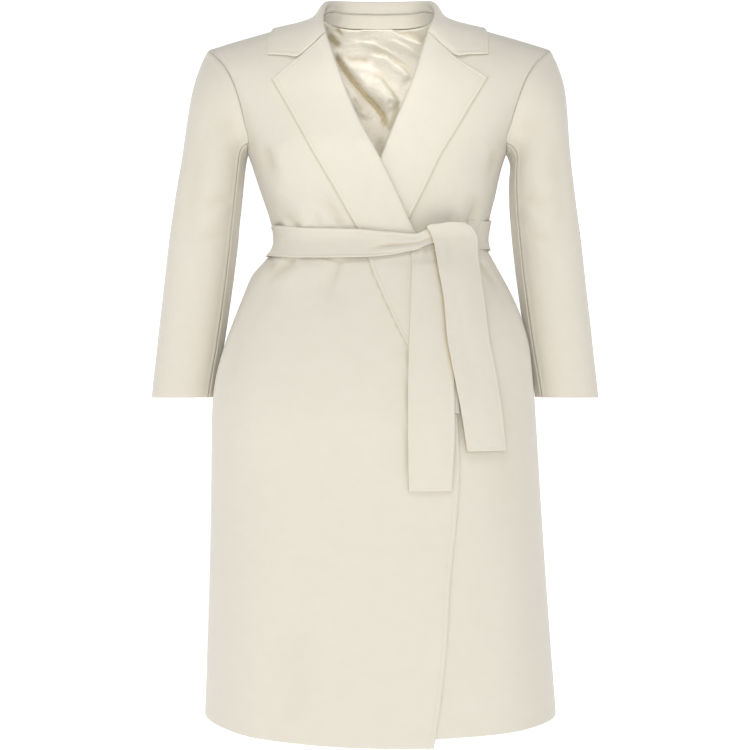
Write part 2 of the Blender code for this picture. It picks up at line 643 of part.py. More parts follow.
def sleeve_walls(front, back, side):
    """The sleeve's top and under pieces, and the directions that the armhole seam shares."""
    loop = armhole_loop(front, back, side)
    body_out = outward(loop)
    grid = sleeve_rings(loop, side)
    normal = ring_normals(grid)
    turn = np.sum(body_out * normal[0], axis=-1)
    mitred = np.clip((turn - MITRE_FROM) / MITRE_OVER, 0, 1)[:, None]
    seam = unit(body_out + mitred * normal[0])
    sleeve_seam = unit(normal[0] + mitred * body_out)
    grid[0] += body_out * (1 - mitred) * 2 * SEAM_PULL
    length = CLOTH / np.maximum(np.sum(sleeve_seam * normal[0], axis=-1), MITRE_LEAST)
    inside = grid - normal * CLOTH
    inside[0] = grid[0] - sleeve_seam * length[:, None]
    closed = [np.concatenate([g, g[:, :1]], axis=1) for g in (grid, inside)]
    whole = Wall(*closed).pull(row=0)
    count = len(loop)
    first, last = FORE_SEAM_STEPS, count - HIND_SEAM_STEPS
    top = whole.part(slice(None), slice(first, last + 1)).pull(column=0).pull(column=-1)
    order = np.concatenate([np.arange(last, count), np.arange(0, first + 1)])
    under = Wall(whole.face[:, order].copy(), whole.back[:, order].copy())
    under.pull(column=0).pull(column=-1)
    return top, under, seam, body_out


def mitre_armhole(front, back, side, seam, body_out):
    """Turn the body walls' rims at the armhole to the direction shared with the sleeve."""
    length = CLOTH / np.maximum(np.sum(seam * body_out, axis=-1), MITRE_LEAST)
    steps = ARMHOLE_STEPS
    front.back[:steps + 1, 0] = (front.face[:steps + 1, 0]
                                 - (seam * length[:, None])[steps::-1])
    column = 0 if side < 0 else -1
    order = np.concatenate([np.arange(steps, len(seam)), [0]])
    back.back[:steps + 1, column] = (back.face[:steps + 1, column]
                                     - (seam * length[:, None])[order])


# ---------------------------------------------------------------- lapels
ROLL_CENTRE = -CLOTH / 2                 # the fold turns about the middle of the front's wall
FOLD_ANGLES = (-90, -135, 180, 135, 90)  # round the rim, from behind the front to over it
STRIP_SHARES = (1.0, 0.5)
LAPEL_SHARES = (0.12, 0.28, 0.46, 0.64, 0.82, 1.0)
LAPEL_FIRST_ROW = 0.006                  # least height between an end row and the next one


def along_line(corners, distance):
    """Place on a line through corners at a distance from its first; it may lie before it."""
    corners = np.asarray(corners, float)
    lengths = np.linalg.norm(np.diff(corners, axis=0), axis=1)
    reached = 0.0
    for index, length in enumerate(lengths):
        if distance <= reached + length or index == len(lengths) - 1:
            step = (corners[index + 1] - corners[index]) / length
            return corners[index] + step * (distance - reached)
        reached += length


def lapel_section(corners, lift, outer):
    """One row of a lapel: strip behind the front, fold round its rim, and the turned face."""
    total = np.sum(np.linalg.norm(np.diff(np.asarray(corners), axis=0), axis=1))
    radius = CLOTH / 2 + LAPEL_GAP + outer
    stations = [(share * LAPEL_STRIP, ROLL_CENTRE - radius) for share in STRIP_SHARES]
    for angle in FOLD_ANGLES:
        turn = math.radians(angle)
        stations.append((radius * math.cos(turn), ROLL_CENTRE + radius * math.sin(turn)))
    for share in LAPEL_SHARES:
        bulge = LAPEL_BULGE * math.sin(math.pi * share) ** 2
        stations.append((share * total, ROLL_CENTRE + radius + bulge))
    places = np.array([along_line(corners, distance) for distance, _ in stations])
    heights = np.array([height for _, height in stations])
    x, z = places.T
    return moved_out(body_at(x, z, -1), lift(x, z) + heights)


def lapel_wall(table, edge_name, notch, lift, front_levels):
    rows = []
    top, foot = table.at[-1], table.at[0]
    between = (front_levels < top - LAPEL_FIRST_ROW) & (front_levels > foot + LAPEL_FIRST_ROW)
    for roll_z in (top, *front_levels[between], foot):
        roll = (EDGE.read(edge_name, roll_z), roll_z)
        tip = (table.read("out_x", roll_z), table.read("out_z", roll_z))
        corners = (roll, notch, tip) if roll_z == top else (roll, tip)
        rows.append([lapel_section(corners, lift, outer) for outer in (CLOTH, 0.0)])
    grid = np.array(rows)
    return Wall(grid[:, 0], grid[:, 1])


# ---------------------------------------------------------------- collar
COLLAR_STATIONS = 24
FALL_SHARES = (0.20, 0.44, 0.72, 1.0)
NOTCH_SHARE = 0.44
COLLAR_LIFT = 0.0014
STAND_FOOT_GAP = 0.0018


def neckline(along, side):
    """Outer point of the body's neck edge, from the centre back round to the front's edge."""
    if along <= NECK_POINT_ALONG:
        x = NECK_HALF * math.sin(math.pi / 2 * along / NECK_POINT_ALONG)
        return body_at(side * x, min(NECK_SEAM_Z, RIDGE.read("z", x)), 1)
    share = (along - NECK_POINT_ALONG) / (1 - NECK_POINT_ALONG)
    z = NECK_POINT_Z + (GORGE_Z - NECK_POINT_Z) * share ** 2
    return body_at(EDGE.read("over" if side < 0 else "under", z), z, -1)


def out_of_neckline(points):
    """Outward direction just below the neck edge; on the ridge itself it isn't defined."""
    return outward(points - np.array([0, 0, BELOW_RIDGE]))


def collar_frame(along, side):
    """Roll centre, fall direction, outward direction and outer edge at a place along it.

    Round the back the collar stands up from the neck; towards the gorge it wraps the front's
    edge, so its frame turns into the frame of that edge."""
    def place(name, at):
        nearer = COLLAR.read("nearer", at) if side > 0 else 0.0
        return np.array([side * (COLLAR.read(name + "_x", at) - nearer),
                         COLLAR.read(name + "_y", at), COLLAR.read(name + "_z", at)])

    centre, edge = place("roll", along), place("edge", along)
    ahead, behind = min(along + COLLAR_STEP, 1), max(along - COLLAR_STEP, 0)
    tangent = unit(place("roll", ahead) - place("roll", behind))
    if along < COLLAR_STEP:
        tangent = np.array([side * 1.0, 0.0, 0.0])
    bent = np.array([0, 0, -COLLAR.read("bend", along) * COLLAR_BEND])
    fall = unit(edge - centre + bent) + COLLAR.read("drop", along) * np.array([0, 0, -1.0])
    fall = unit(fall - tangent * (fall @ tangent))
    out = unit(np.cross(tangent, fall)) * side
    wrap = smooth((along - WRAP_FROM) / (WRAP_WHOLE - WRAP_FROM))
    if wrap > 0:
        rim = neckline(along, side)
        rim_out = out_of_neckline(rim)
        centre = centre * (1 - wrap) + (rim + rim_out * ROLL_CENTRE) * wrap
        out = unit(out * (1 - wrap) + rim_out * wrap)
        fall = unit(edge - centre + bent) * wrap + fall * (1 - wrap)
        fall = unit(fall - out * (fall @ out))
    return centre, fall, out, lay_on_body(edge, CLOTH + GAP + COLLAR_LIFT)


def strip_foot(along, side, top, fall, outer):
    """Where the turned-in strip ends: above the stand, or tucked in behind the front's edge."""
    rim = neckline(along, side)
    rim_out = out_of_neckline(rim)
    if along > NECK_POINT_ALONG + 1e-6:
        tucked = smooth((along - TUCK_FROM) / (TUCK_WHOLE - TUCK_FROM))
        behind = rim - rim_out * (CLOTH + LAPEL_GAP + outer)
        return behind + fall * (STRIP_TUCK + (COLLAR_STRIP - STRIP_TUCK) * tucked)
    to_seam = rim - rim_out * outer - top
    whole = np.linalg.norm(to_seam)
    grown = smooth((along - STRIP_GROWS_FROM) / (NECK_POINT_ALONG - STRIP_GROWS_FROM))
    length = COLLAR_STRIP + (whole - STAND_LEAST - COLLAR_STRIP) * grown
    return top + to_seam / whole * length


def collar_section(along, side, outer):
    centre, fall, out, edge = collar_frame(along, side)
    radius = CLOTH / 2 + LAPEL_GAP + outer
    top = centre - out * radius
    foot = strip_foot(along, side, top, fall, outer)
    points = [top + (foot - top) * share for share in STRIP_SHARES]
    for angle in FOLD_ANGLES:
        turn = math.radians(angle)
        points.append(centre + fall * radius * math.cos(turn) + out * radius * math.sin(turn))
    start = points[-1]
    under = CLOTH - outer
    target = edge - outward(edge) * under
    reach = np.linalg.norm(target - start)
    control = start + fall * reach * COLLAR_REACH
    bend = COLLAR.read("bend", along) * (UNDER_BEND if side > 0 else 1)
    for share in FALL_SHARES:
        point = (start * (1 - share) ** 2 + 2 * control * share * (1 - share)
                 + target * share ** 2)
        sunk = min(share / NOTCH_SHARE, (1 - share) / (1 - NOTCH_SHARE))
        point = point + np.array([0, 0, -bend * sunk])
        points.append(point)
    return np.array(points)


def collar_walls():
    """The collar leaf and the stand that carries it round the back of the neck."""
    places = np.linspace(-1, 1, COLLAR_STATIONS + 1)
    face, back = (np.array([collar_section(abs(a), -1 if a < 0 else 1, outer) for a in places])
                  for outer in (CLOTH, 0.0))
    fallen = back[:, -len(FALL_SHARES):]
    cleared = keep_clear(fallen, GAP + COLLAR_LIFT) - fallen
    face[:, -len(FALL_SHARES):] += cleared
    back[:, -len(FALL_SHARES):] += cleared
    leaf = Wall(face, back)
    reach = [i for i, a in enumerate(places) if abs(a) <= NECK_POINT_ALONG + 1e-6]
    foot = np.array([neckline(abs(places[i]), -1 if places[i] < 0 else 1) for i in reach])
    grids = []
    for face, sunk in ((leaf.face, CLOTH), (leaf.back, 0.0)):
        top = face[reach, 0]
        bottom = foot - out_of_neckline(foot) * sunk
        rise = unit(top - bottom)
        top, bottom = top - rise * 2 * SEAM_PULL, bottom + rise * STAND_FOOT_GAP
        shares = np.linspace(0, 1, 4)[:, None, None]
        grids.append(bottom * (1 - shares) + top * shares)
    return leaf, Wall(*grids)


# ---------------------------------------------------------------- belt
def belt_walls():
    first = float(angle_of(np.array(BELT_START_X), np.array(BELT_MIDDLE_Z)))
    last = float(angle_of(np.array(BELT_END_X), np.array(BELT_MIDDLE_Z))) - 360
    turn = np.linspace(first, last, BELT_COLUMNS + 1)
    turned = (turn + 180) % 360 - 180
    facing = np.where(np.abs(turned) <= 90, -1, 1)
    angle = np.where(facing < 0, turned, np.sign(turned) * (180 - np.abs(turned)))
    x = body_round(angle, BELT_MIDDLE_Z + 0 * angle, -1)[:, 0]
    across_back = np.clip((x / BELT_SIDE_X + 1) / 2, 0, 1)

    def read(name):
        right, left = (BELT_BAND.read(name, side * BELT_SIDE_X) for side in (-1, 1))
        behind = right * (1 - across_back) + left * across_back
        return np.where(facing < 0, BELT_BAND.read(name, x), behind)

    top, foot, lift = read("top"), read("foot"), read("lift")
    shares = np.linspace(0, 1, 4)[:, None]
    z = top * (1 - shares) + foot * shares
    base = np.where((facing < 0)[None, :, None], body_round(angle + 0 * z, z, -1),
                    body_round(angle + 0 * z, z, 1))
    band = Wall.under(base, lift + BELT + 0 * z, BELT, LEVEL)
    knot_x = np.linspace(BELT_START_X + KNOT_INSET, BELT_END_X - KNOT_INSET, 11)
    top, foot, back, thick = (KNOT.read(name, knot_x) for name in ("top", "foot", "back", "thick"))
    shares = np.linspace(0, 1, 7)[:, None]
    z = top * (1 - shares) + foot * shares
    crown = KNOT_EDGE + (1 - KNOT_EDGE) * np.sin(np.pi * shares)
    base = body_at(knot_x + 0 * z, z, -1)
    knot = Wall(moved_out(base, back + thick * crown, LEVEL), moved_out(base, back + 0 * z, LEVEL))
    return band, knot


def end_wall(table, rows, columns):
    """A hanging end: straight across between two edges that are read from its table."""
    eased = np.linspace(0, 1, rows + 1)[:, None] ** END_EASE
    z = table.at[-1] + (table.at[0] - table.at[-1]) * eased
    share = np.linspace(0, 1, columns + 1)
    x = table.read("left_x", z) * (1 - share) + table.read("right_x", z) * share
    lift = table.read("left_lift", z) * (1 - share) + table.read("right_lift", z) * share
    return Wall.under(body_at(x, z + 0 * share, -1), lift + BELT, BELT, STRAIGHT)


# ---------------------------------------------------------------- the coat
def cloth_material(name, colour, roughness):
    material = bpy.data.materials.new(name)
    material.use_nodes = True
    shader = material.node_tree.nodes["Principled BSDF"]
    shader.inputs["Base Color"].default_value = (*colour, 1.0)
    shader.inputs["Roughness"].default_value = roughness
    shader.inputs["Metallic"].default_value = 0.0
    return material


def main():
    for item in list(bpy.data.objects):
        bpy.data.objects.remove(item)
    coat = bpy.data.collections.new("wrap_coat")
    bpy.context.scene.collection.children.link(coat)
    wool = cloth_material("ivory_wool", (0.83, 0.78, 0.68), 0.9)
    satin = cloth_material("ivory_satin", (0.84, 0.78, 0.66), 0.35)

    over_base = front_points(-1, "over", HEM_OVER_Z)
    under_base = front_points(1, "under", HEM_UNDER_Z)
    back_base = back_points()
    fronts = {
        -1: Wall.under(over_base, over_lift(over_base[..., 0], over_base[..., 2]), CLOTH),
        1: Wall.under(under_base, no_lift(under_base[..., 0], under_base[..., 2]), CLOTH),
    }
    back = Wall.under(back_base, no_lift(back_base[..., 0], back_base[..., 2]), CLOTH)
    pieces = {}
    for side, name in ((-1, "right"), (1, "left")):
        top, under, seam, body_out = sleeve_walls(fronts[side].face, back.face, side)
        mitre_armhole(fronts[side], back, side, seam, body_out)
        pieces["sleeve_top_" + name] = top
        pieces["sleeve_under_" + name] = under
        pieces["front_" + name] = fronts[side].pull(row=0).pull(column=0)
    pieces["back"] = back.pull(row=0).pull(column=0).pull(column=-1)
    pieces["lapel_right"] = lapel_wall(OVER_LAPEL, "over", OVER_NOTCH, over_lift,
                                       over_base[:, -1, 2])
    pieces["lapel_left"] = lapel_wall(UNDER_LAPEL, "under", UNDER_NOTCH, no_lift,
                                      under_base[:, -1, 2])
    pieces["collar"], pieces["collar_stand"] = collar_walls()
    pieces["belt_waist"], pieces["belt_knot"] = belt_walls()
    pieces["belt_end_long"] = end_wall(LONG_END, 12, 4)
    pieces["belt_end_short"] = end_wall(SHORT_END, 14, 4)
    for name, wall in pieces.items():
        build_wall(name, wall, wool, coat)

    lined = back_base[:, LINING_IN_COLUMNS:-LINING_IN_COLUMNS]
    lined = lined[lined[:, 0, 2] > LINING_FOOT_Z]
    lining = Wall.under(lined, -CLOTH - 2 * GAP + 0 * lined[..., 0], SATIN)
    build_wall("back_lining", lining.pull(row=0, by=LINING_TOP), satin, coat)


main()
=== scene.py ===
"""Looks of the belted wrap coat: soft double-faced wool panels, a creased satin lining, stitches.

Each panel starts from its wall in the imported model. The wall's two faces are read as grids,
refined to a few millimetres, folded and creased by tables of creases, and closed round their
edges with a soft turned roll. Metres, +Z up, the coat faces -Y.
"""

import math

import bmesh
import bpy
import numpy as np
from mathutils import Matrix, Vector


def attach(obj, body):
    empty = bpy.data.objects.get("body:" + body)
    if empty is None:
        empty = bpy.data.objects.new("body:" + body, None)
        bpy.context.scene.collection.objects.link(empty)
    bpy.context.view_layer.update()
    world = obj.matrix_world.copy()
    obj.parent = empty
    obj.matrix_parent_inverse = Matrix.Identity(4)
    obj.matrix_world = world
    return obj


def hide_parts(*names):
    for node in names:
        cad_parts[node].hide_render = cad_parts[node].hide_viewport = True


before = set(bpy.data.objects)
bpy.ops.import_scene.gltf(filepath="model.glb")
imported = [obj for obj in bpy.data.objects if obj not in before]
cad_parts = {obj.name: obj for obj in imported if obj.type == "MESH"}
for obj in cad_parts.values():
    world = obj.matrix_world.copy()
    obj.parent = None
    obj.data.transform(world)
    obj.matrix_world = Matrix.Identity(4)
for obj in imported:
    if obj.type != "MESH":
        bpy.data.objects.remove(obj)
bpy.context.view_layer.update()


# -------- small helpers
FORWARD = np.array([0.0, -1.0, 0.0])


def unit(vectors):
    """The same directions, each of length one."""
    return vectors / np.maximum(np.linalg.norm(vectors, axis=-1, keepdims=True), 1e-12)


def smooth(t):
    """A soft rise from 0 to 1 while t goes from 0 to 1."""
    t = np.clip(t, 0.0, 1.0)
    return t * t * (3 - 2 * t)


def ramp(at, start, over):
    """A soft rise that begins at start and is full after the given length."""
    return smooth((at - start) / over)


def hump(distance, width):
    """A soft hump: 1 in its middle, near 0 at twice its width."""
    return np.exp(-(distance / width) ** 2)


def put(name, data):
    """A new object in the scene."""
    made = bpy.data.objects.new(name, data)
    bpy.context.scene.collection.objects.link(made)
    return made


# -------- walls read as grids
MERGE = 1e-6            # corners of a packed wall this close together are one
RIM_WIDEST = 0.0085     # no wall is thicker than this at its rim
HOLLOW_DEPTH = 0.009    # a trough this deep takes the whole of a cloth's painted shade


class Wall:
    """The two faces of a cloth wall: grids of points, rows down the cloth, columns across it."""

    def __init__(self, face, back):
        self.face, self.back = face, back
        self.across = self.down = self.painted_shade = None

    def fold(self, height, direction):
        """Move both faces together along a direction, and paint shade where that leaves a trough."""
        shift = direction * height[..., None]
        self.face, self.back = self.face + shift, self.back + shift
        self.painted_shade = np.maximum(self.painted_shade, smooth(-height / HOLLOW_DEPTH))

    def knots(self):
        """Mean length along the cloth at each column and at each row."""
        across = np.linalg.norm(np.diff(self.face, axis=1), axis=-1).mean(axis=0)
        down = np.linalg.norm(np.diff(self.face, axis=0), axis=-1).mean(axis=1)
        return np.concatenate([[0], np.cumsum(across)]), np.concatenate([[0], np.cumsum(down)])


class Net:
    """The triangles of a packed wall, walked from edge to edge whatever their order."""

    def __init__(self, node):
        work = bmesh.new()
        work.from_mesh(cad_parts[node].data)
        bmesh.ops.remove_doubles(work, verts=work.verts[:], dist=MERGE)
        work.verts.index_update()
        self.points = np.array([vert.co[:] for vert in work.verts])
        self.beyond, self.flat, self.length = {}, {}, {}
        for edge in work.edges:
            ends = frozenset(vert.index for vert in edge.verts)
            self.beyond[ends] = [vert.index for face in edge.link_faces for vert in face.verts
                                 if vert.index not in ends]
            self.flat[ends] = edge.link_faces[0].normal.dot(edge.link_faces[1].normal)
            self.length[ends] = edge.calc_length()
        work.free()

    def other(self, a, b, behind):
        """The third corner of the triangle on the far side of an edge."""
        first, second = self.beyond[frozenset((a, b))]
        return second if first == behind else first

    def rim_from(self, front, rear, ahead):
        """Walk round the rim over the short edges that join its two sides, back to the first."""
        loop = [(front, rear)]
        while len(loop) < len(self.points):
            choices = ((rear, (ahead, self.other(rear, ahead, front))),
                       (front, (self.other(front, ahead, rear), ahead)))
            width = self.length[frozenset((front, rear))]
            behind, (front, rear) = max(choices, key=lambda choice: (
                self.flat[frozenset((choice[0], ahead))]
                - abs(math.log(self.length[frozenset(choice[1])] / width))))
            if (front, rear) == loop[0]:
                return loop
            if self.length[frozenset((front, rear))] > RIM_WIDEST:
                return []
            loop.append((front, rear))
            ahead = self.other(front, rear, behind)
        return []

    def rim(self):
        """The whole rim and its four corners: the loop whose length fits the count of points."""
        found = []
        for ends, ahead in self.beyond.items():
            if self.length[ends] < RIM_WIDEST:
                loop = self.rim_from(*ends, ahead[0])
                mean = len(loop) / 4 + 1
                spread = mean ** 2 - len(self.points) / 2
                if loop and spread >= 0 and (2 * math.sqrt(spread)).is_integer():
                    width = sum(self.length[frozenset(rung)] for rung in loop)
                    found.append((width, loop, mean, spread))
        loop, mean, spread = min(found, key=lambda one: one[0])[1:]
        turns = np.array([self.flat[frozenset(rung)] for rung in loop])
        best = None
        for sign in (-1, 1):
            across, down = mean - 1 + sign * math.sqrt(spread), mean - 1 - sign * math.sqrt(spread)
            steps = np.array([0, across, across + down, 2 * across + down]).round().astype(int)
            for shift in range(len(loop)):
                corners = (steps + shift) % len(loop)
                if best is None or turns[corners].sum() < best[0]:
                    best = turns[corners].sum(), corners
        return loop, best[1]

    def grid(self, row, column):
        """The grid of points within a first row and column, found one cell after another."""
        rows = [row]
        for first in column[1:]:
            below = [first]
            for left, right in zip(row, row[1:]):
                last = below[-1]
                if last in self.beyond.get(frozenset((left, right)), ()):
                    below.append(self.other(right, last, left))
                else:
                    shared = set(self.beyond[frozenset((left, right))])
                    below.append((shared & set(self.beyond[frozenset((left, last))])).pop())
            row = below
            rows.append(row)
        return self.points[np.array(rows)]


def wall_of(node, corner, along, inside_shows=False):
    """A node's wall; its first row starts at the corner that lies furthest in a direction."""
    net = Net(node)
    corner, along = np.array(corner, float), np.array(along, float)
    loop, corners = net.rim()
    places = net.points[[rung[0] for rung in loop]]
    first = max(corners, key=lambda k: places[k] @ corner)
    steps = sorted((corners - first) % len(loop))
    ahead, behind = places[(first + 1) % len(loop)], places[first - 1]
    loop = loop[first:] + loop[:first]
    columns, rows = steps[1] + 1, len(loop) - steps[3] + 1
    if unit(behind - places[first]) @ along > unit(ahead - places[first]) @ along:
        loop = loop[:1] + loop[:0:-1]
        columns, rows = rows, columns
    grids = []
    for side in (0, 1):
        border = [rung[side] for rung in loop]
        grids.append(net.grid(border[:columns], border[:1] + border[:-rows:-1]))

    def area(grid):
        sides = np.cross(grid[1:, 1:] - grid[:-1, :-1], grid[1:, :-1] - grid[:-1, 1:])
        return np.linalg.norm(sides, axis=-1).sum()

    grids.sort(key=area, reverse=not inside_shows)
    return Wall(*grids)


def spline(points, knots, at):
    """Cubic through points along their first axis, its slopes taken from both neighbours."""
    step = np.diff(knots).reshape((-1,) + (1,) * (points.ndim - 1))
    chord = np.diff(points, axis=0) / step
    slope = np.empty_like(points)
    slope[1:-1] = (chord[:-1] * step[1:] + chord[1:] * step[:-1]) / (step[:-1] + step[1:])
    slope[0] = 2 * chord[0] - slope[1]
    slope[-1] = 2 * chord[-1] - slope[-2]
    low = np.clip(np.searchsorted(knots, at, side="right") - 1, 0, len(knots) - 2)
    t = ((at - knots[low]) / (knots[low + 1] - knots[low])).reshape((-1,) + (1,) * (points.ndim - 1))
    h = step[low]
    return (points[low] * (1 + 2 * t) * (1 - t) ** 2 + slope[low] * h * t * (1 - t) ** 2
            + points[low + 1] * t * t * (3 - 2 * t) + slope[low + 1] * h * t * t * (t - 1))


# A refined grid is cut at these distances from its edges, which its seams and stitches need.
EDGE_MARKS = (0.0024, 0.0037, 0.0044, 0.0051, 0.0059, 0.0072, 0.0095)
EDGE_CLEAR = 0.001      # the evenly spaced cuts keep this far from the last of them


def stations(knots, spacing):
    """Places to cut a grid at: close together by its two edges, evenly spaced between them."""
    length = knots[-1]
    places = []
    for low, high in zip(knots, knots[1:]):
        pieces = max(2, math.ceil((high - low) / spacing))
        places += list(np.linspace(low, high, pieces, endpoint=False))
    last = EDGE_MARKS[-1]
    inside = [p for p in places if last + EDGE_CLEAR < p < length - last - EDGE_CLEAR]
    if length > 2.5 * last:
        places = [0, *EDGE_MARKS, *inside, *(length - m for m in reversed(EDGE_MARKS)), length]
    return np.array(sorted(places + ([] if places[-1] == length else [length])))


def refined(wall, spacing):
    """The same wall with many more rows and columns, and the length along it at each of them."""
    knots_across, knots_down = wall.knots()
    across, down = stations(knots_across, spacing), stations(knots_down, spacing)

    def fine(grid):
        grid = spline(grid, knots_down, down)
        return spline(grid.swapaxes(0, 1), knots_across, across).swapaxes(0, 1)

    fine_wall = Wall(fine(wall.face), fine(wall.back))
    fine_wall.across, fine_wall.down = across, down
    fine_wall.painted_shade = np.zeros((len(down), len(across)))
    return fine_wall


# -------- folds and creases
WAIST_Z = -0.32
TORSO_WIDE, TORSO_DEEP = 0.19, 0.125


def out_of_torso(points):
    """Level directions straight out of the torso, which is taken to be an oval."""
    direction = points * np.array([1 / TORSO_WIDE ** 2, 1 / TORSO_DEEP ** 2, 0.0])
    return unit(direction + np.array([0.0, 1e-9, 0.0]))


def off_polyline(x, z, corners):
    """Signed distance to a line through corners, and the share of its length reached there."""
    corners = np.asarray(corners, float)
    legs = np.diff(corners, axis=0)
    lengths = np.linalg.norm(legs, axis=1)
    reached = np.concatenate([[0], np.cumsum(lengths)])
    best = np.full(x.shape, 9.0)
    signed, share = np.zeros(x.shape), np.zeros(x.shape)
    for start, leg, length, before in zip(corners, legs, lengths, reached):
        dx, dz = x - start[0], z - start[1]
        t = np.clip((dx * leg[0] + dz * leg[1]) / length ** 2, 0, 1)
        away = np.hypot(dx - t * leg[0], dz - t * leg[1])
        side = np.sign(dx * leg[1] - dz * leg[0])
        nearer = away < best
        best = np.where(nearer, away, best)
        signed = np.where(nearer, away * side, signed)
        share = np.where(nearer, (before + t * length) / reached[-1], share)
    return signed, share


def crease_height(x, z, creases):
    """Sum of the creases: height, widths on their two sides, and how each end fades."""
    total = np.zeros(x.shape)
    for height, left, right, fade_in, fade_out, *corners in creases:
        away, share = off_polyline(x, z, corners)
        width = np.where(away < 0, left, right)
        ends = smooth(share / fade_in) * smooth((1 - share) / fade_out)
        total += height * hump(away, width) * ends
    return total


# Height, widths to the two sides, fades at both ends, then the line's corners as x, z.
FRONT_CREASES = (
    (-0.0034, 0.0040, 0.0090, 0.15, 0.60, (-0.0500, -0.3060), (-0.0715, -0.2680), (-0.0895, -0.2480)),
    (0.0030, 0.0100, 0.0090, 0.20, 0.70, (-0.0640, -0.3060), (-0.0830, -0.2700), (-0.0990, -0.2520)),
    (-0.0026, 0.0035, 0.0070, 0.20, 0.60, (-0.0782, -0.3050), (-0.0895, -0.2787), (-0.0980, -0.2640)),
    (0.0024, 0.0090, 0.0100, 0.20, 0.70, (-0.0930, -0.3060), (-0.1090, -0.2790), (-0.1220, -0.2620)),
    (-0.0034, 0.0045, 0.0085, 0.15, 0.60, (-0.1062, -0.3060), (-0.1301, -0.2827), (-0.1390, -0.2700)),
    (0.0022, 0.0080, 0.0080, 0.20, 0.70, (-0.1200, -0.3060), (-0.1400, -0.2870)),
    (-0.0026, 0.0040, 0.0060, 0.20, 0.60, (-0.1334, -0.3060), (-0.1430, -0.2900)),
    (-0.0044, 0.0060, 0.0110, 0.35, 0.60, (-0.1580, -0.1800), (-0.1510, -0.1980), (-0.1360, -0.2451)),
    (0.0030, 0.0120, 0.0120, 0.40, 0.60, (-0.1400, -0.1750), (-0.1330, -0.2050), (-0.1180, -0.2500)),
    (0.0016, 0.0300, 0.0260, 0.40, 0.50, (-0.1000, -0.1300), (-0.1100, -0.2000), (-0.0900, -0.2700)),
    (-0.0036, 0.0045, 0.0090, 0.15, 0.60, (0.1150, -0.3060), (0.1295, -0.2713), (0.1340, -0.2480)),
    (0.0028, 0.0090, 0.0080, 0.20, 0.60, (0.1010, -0.3060), (0.1130, -0.2740), (0.1180, -0.2500)),
    (-0.0020, 0.0050, 0.0070, 0.20, 0.60, (0.0930, -0.3060), (0.0985, -0.2740)),
    (0.0030, 0.0100, 0.0120, 0.40, 0.60, (0.1480, -0.1780), (0.1420, -0.2100), (0.1300, -0.2450)),
    (-0.0036, 0.0070, 0.0100, 0.35, 0.60, (0.1610, -0.1840), (0.1560, -0.2060), (0.1420, -0.2440)),
    (-0.0026, 0.0040, 0.0080, 0.15, 0.65, (-0.0500, -0.3440), (-0.0622, -0.3798), (-0.0660, -0.4020)),
    (0.0022, 0.0100, 0.0090, 0.15, 0.65, (-0.0720, -0.3440), (-0.0850, -0.3850)),
    (-0.0040, 0.0050, 0.0100, 0.15, 0.65, (-0.1080, -0.3440), (-0.1434, -0.3679), (-0.1620, -0.3880)),
    (0.0026, 0.0110, 0.0100, 0.15, 0.65, (-0.0950, -0.3450), (-0.1260, -0.3780), (-0.1420, -0.4050)),
    (-0.0026, 0.0040, 0.0060, 0.20, 0.60, (-0.1420, -0.3440), (-0.1530, -0.3639)),
    (-0.0034, 0.0050, 0.0090, 0.15, 0.65, (0.1370, -0.3440), (0.1561, -0.3745), (0.1660, -0.4000)),
    (0.0022, 0.0100, 0.0100, 0.20, 0.65, (0.1230, -0.3440), (0.1410, -0.3850)),
    (0.0014, 0.0340, 0.0400, 0.40, 0.45, (-0.1320, -0.4600), (-0.1480, -0.6200), (-0.1400, -0.8200)),
    (-0.0016, 0.0380, 0.0300, 0.40, 0.45, (0.1500, -0.4300), (0.1700, -0.5600), (0.1650, -0.7800)),
    (-0.0014, 0.0300, 0.0360, 0.40, 0.30, (-0.1000, -0.7800), (-0.1050, -0.9000), (-0.1100, -0.9800)),
    (0.0016, 0.0340, 0.0280, 0.40, 0.30, (0.1200, -0.7600), (0.1260, -0.8800), (0.1280, -0.9800)),
)
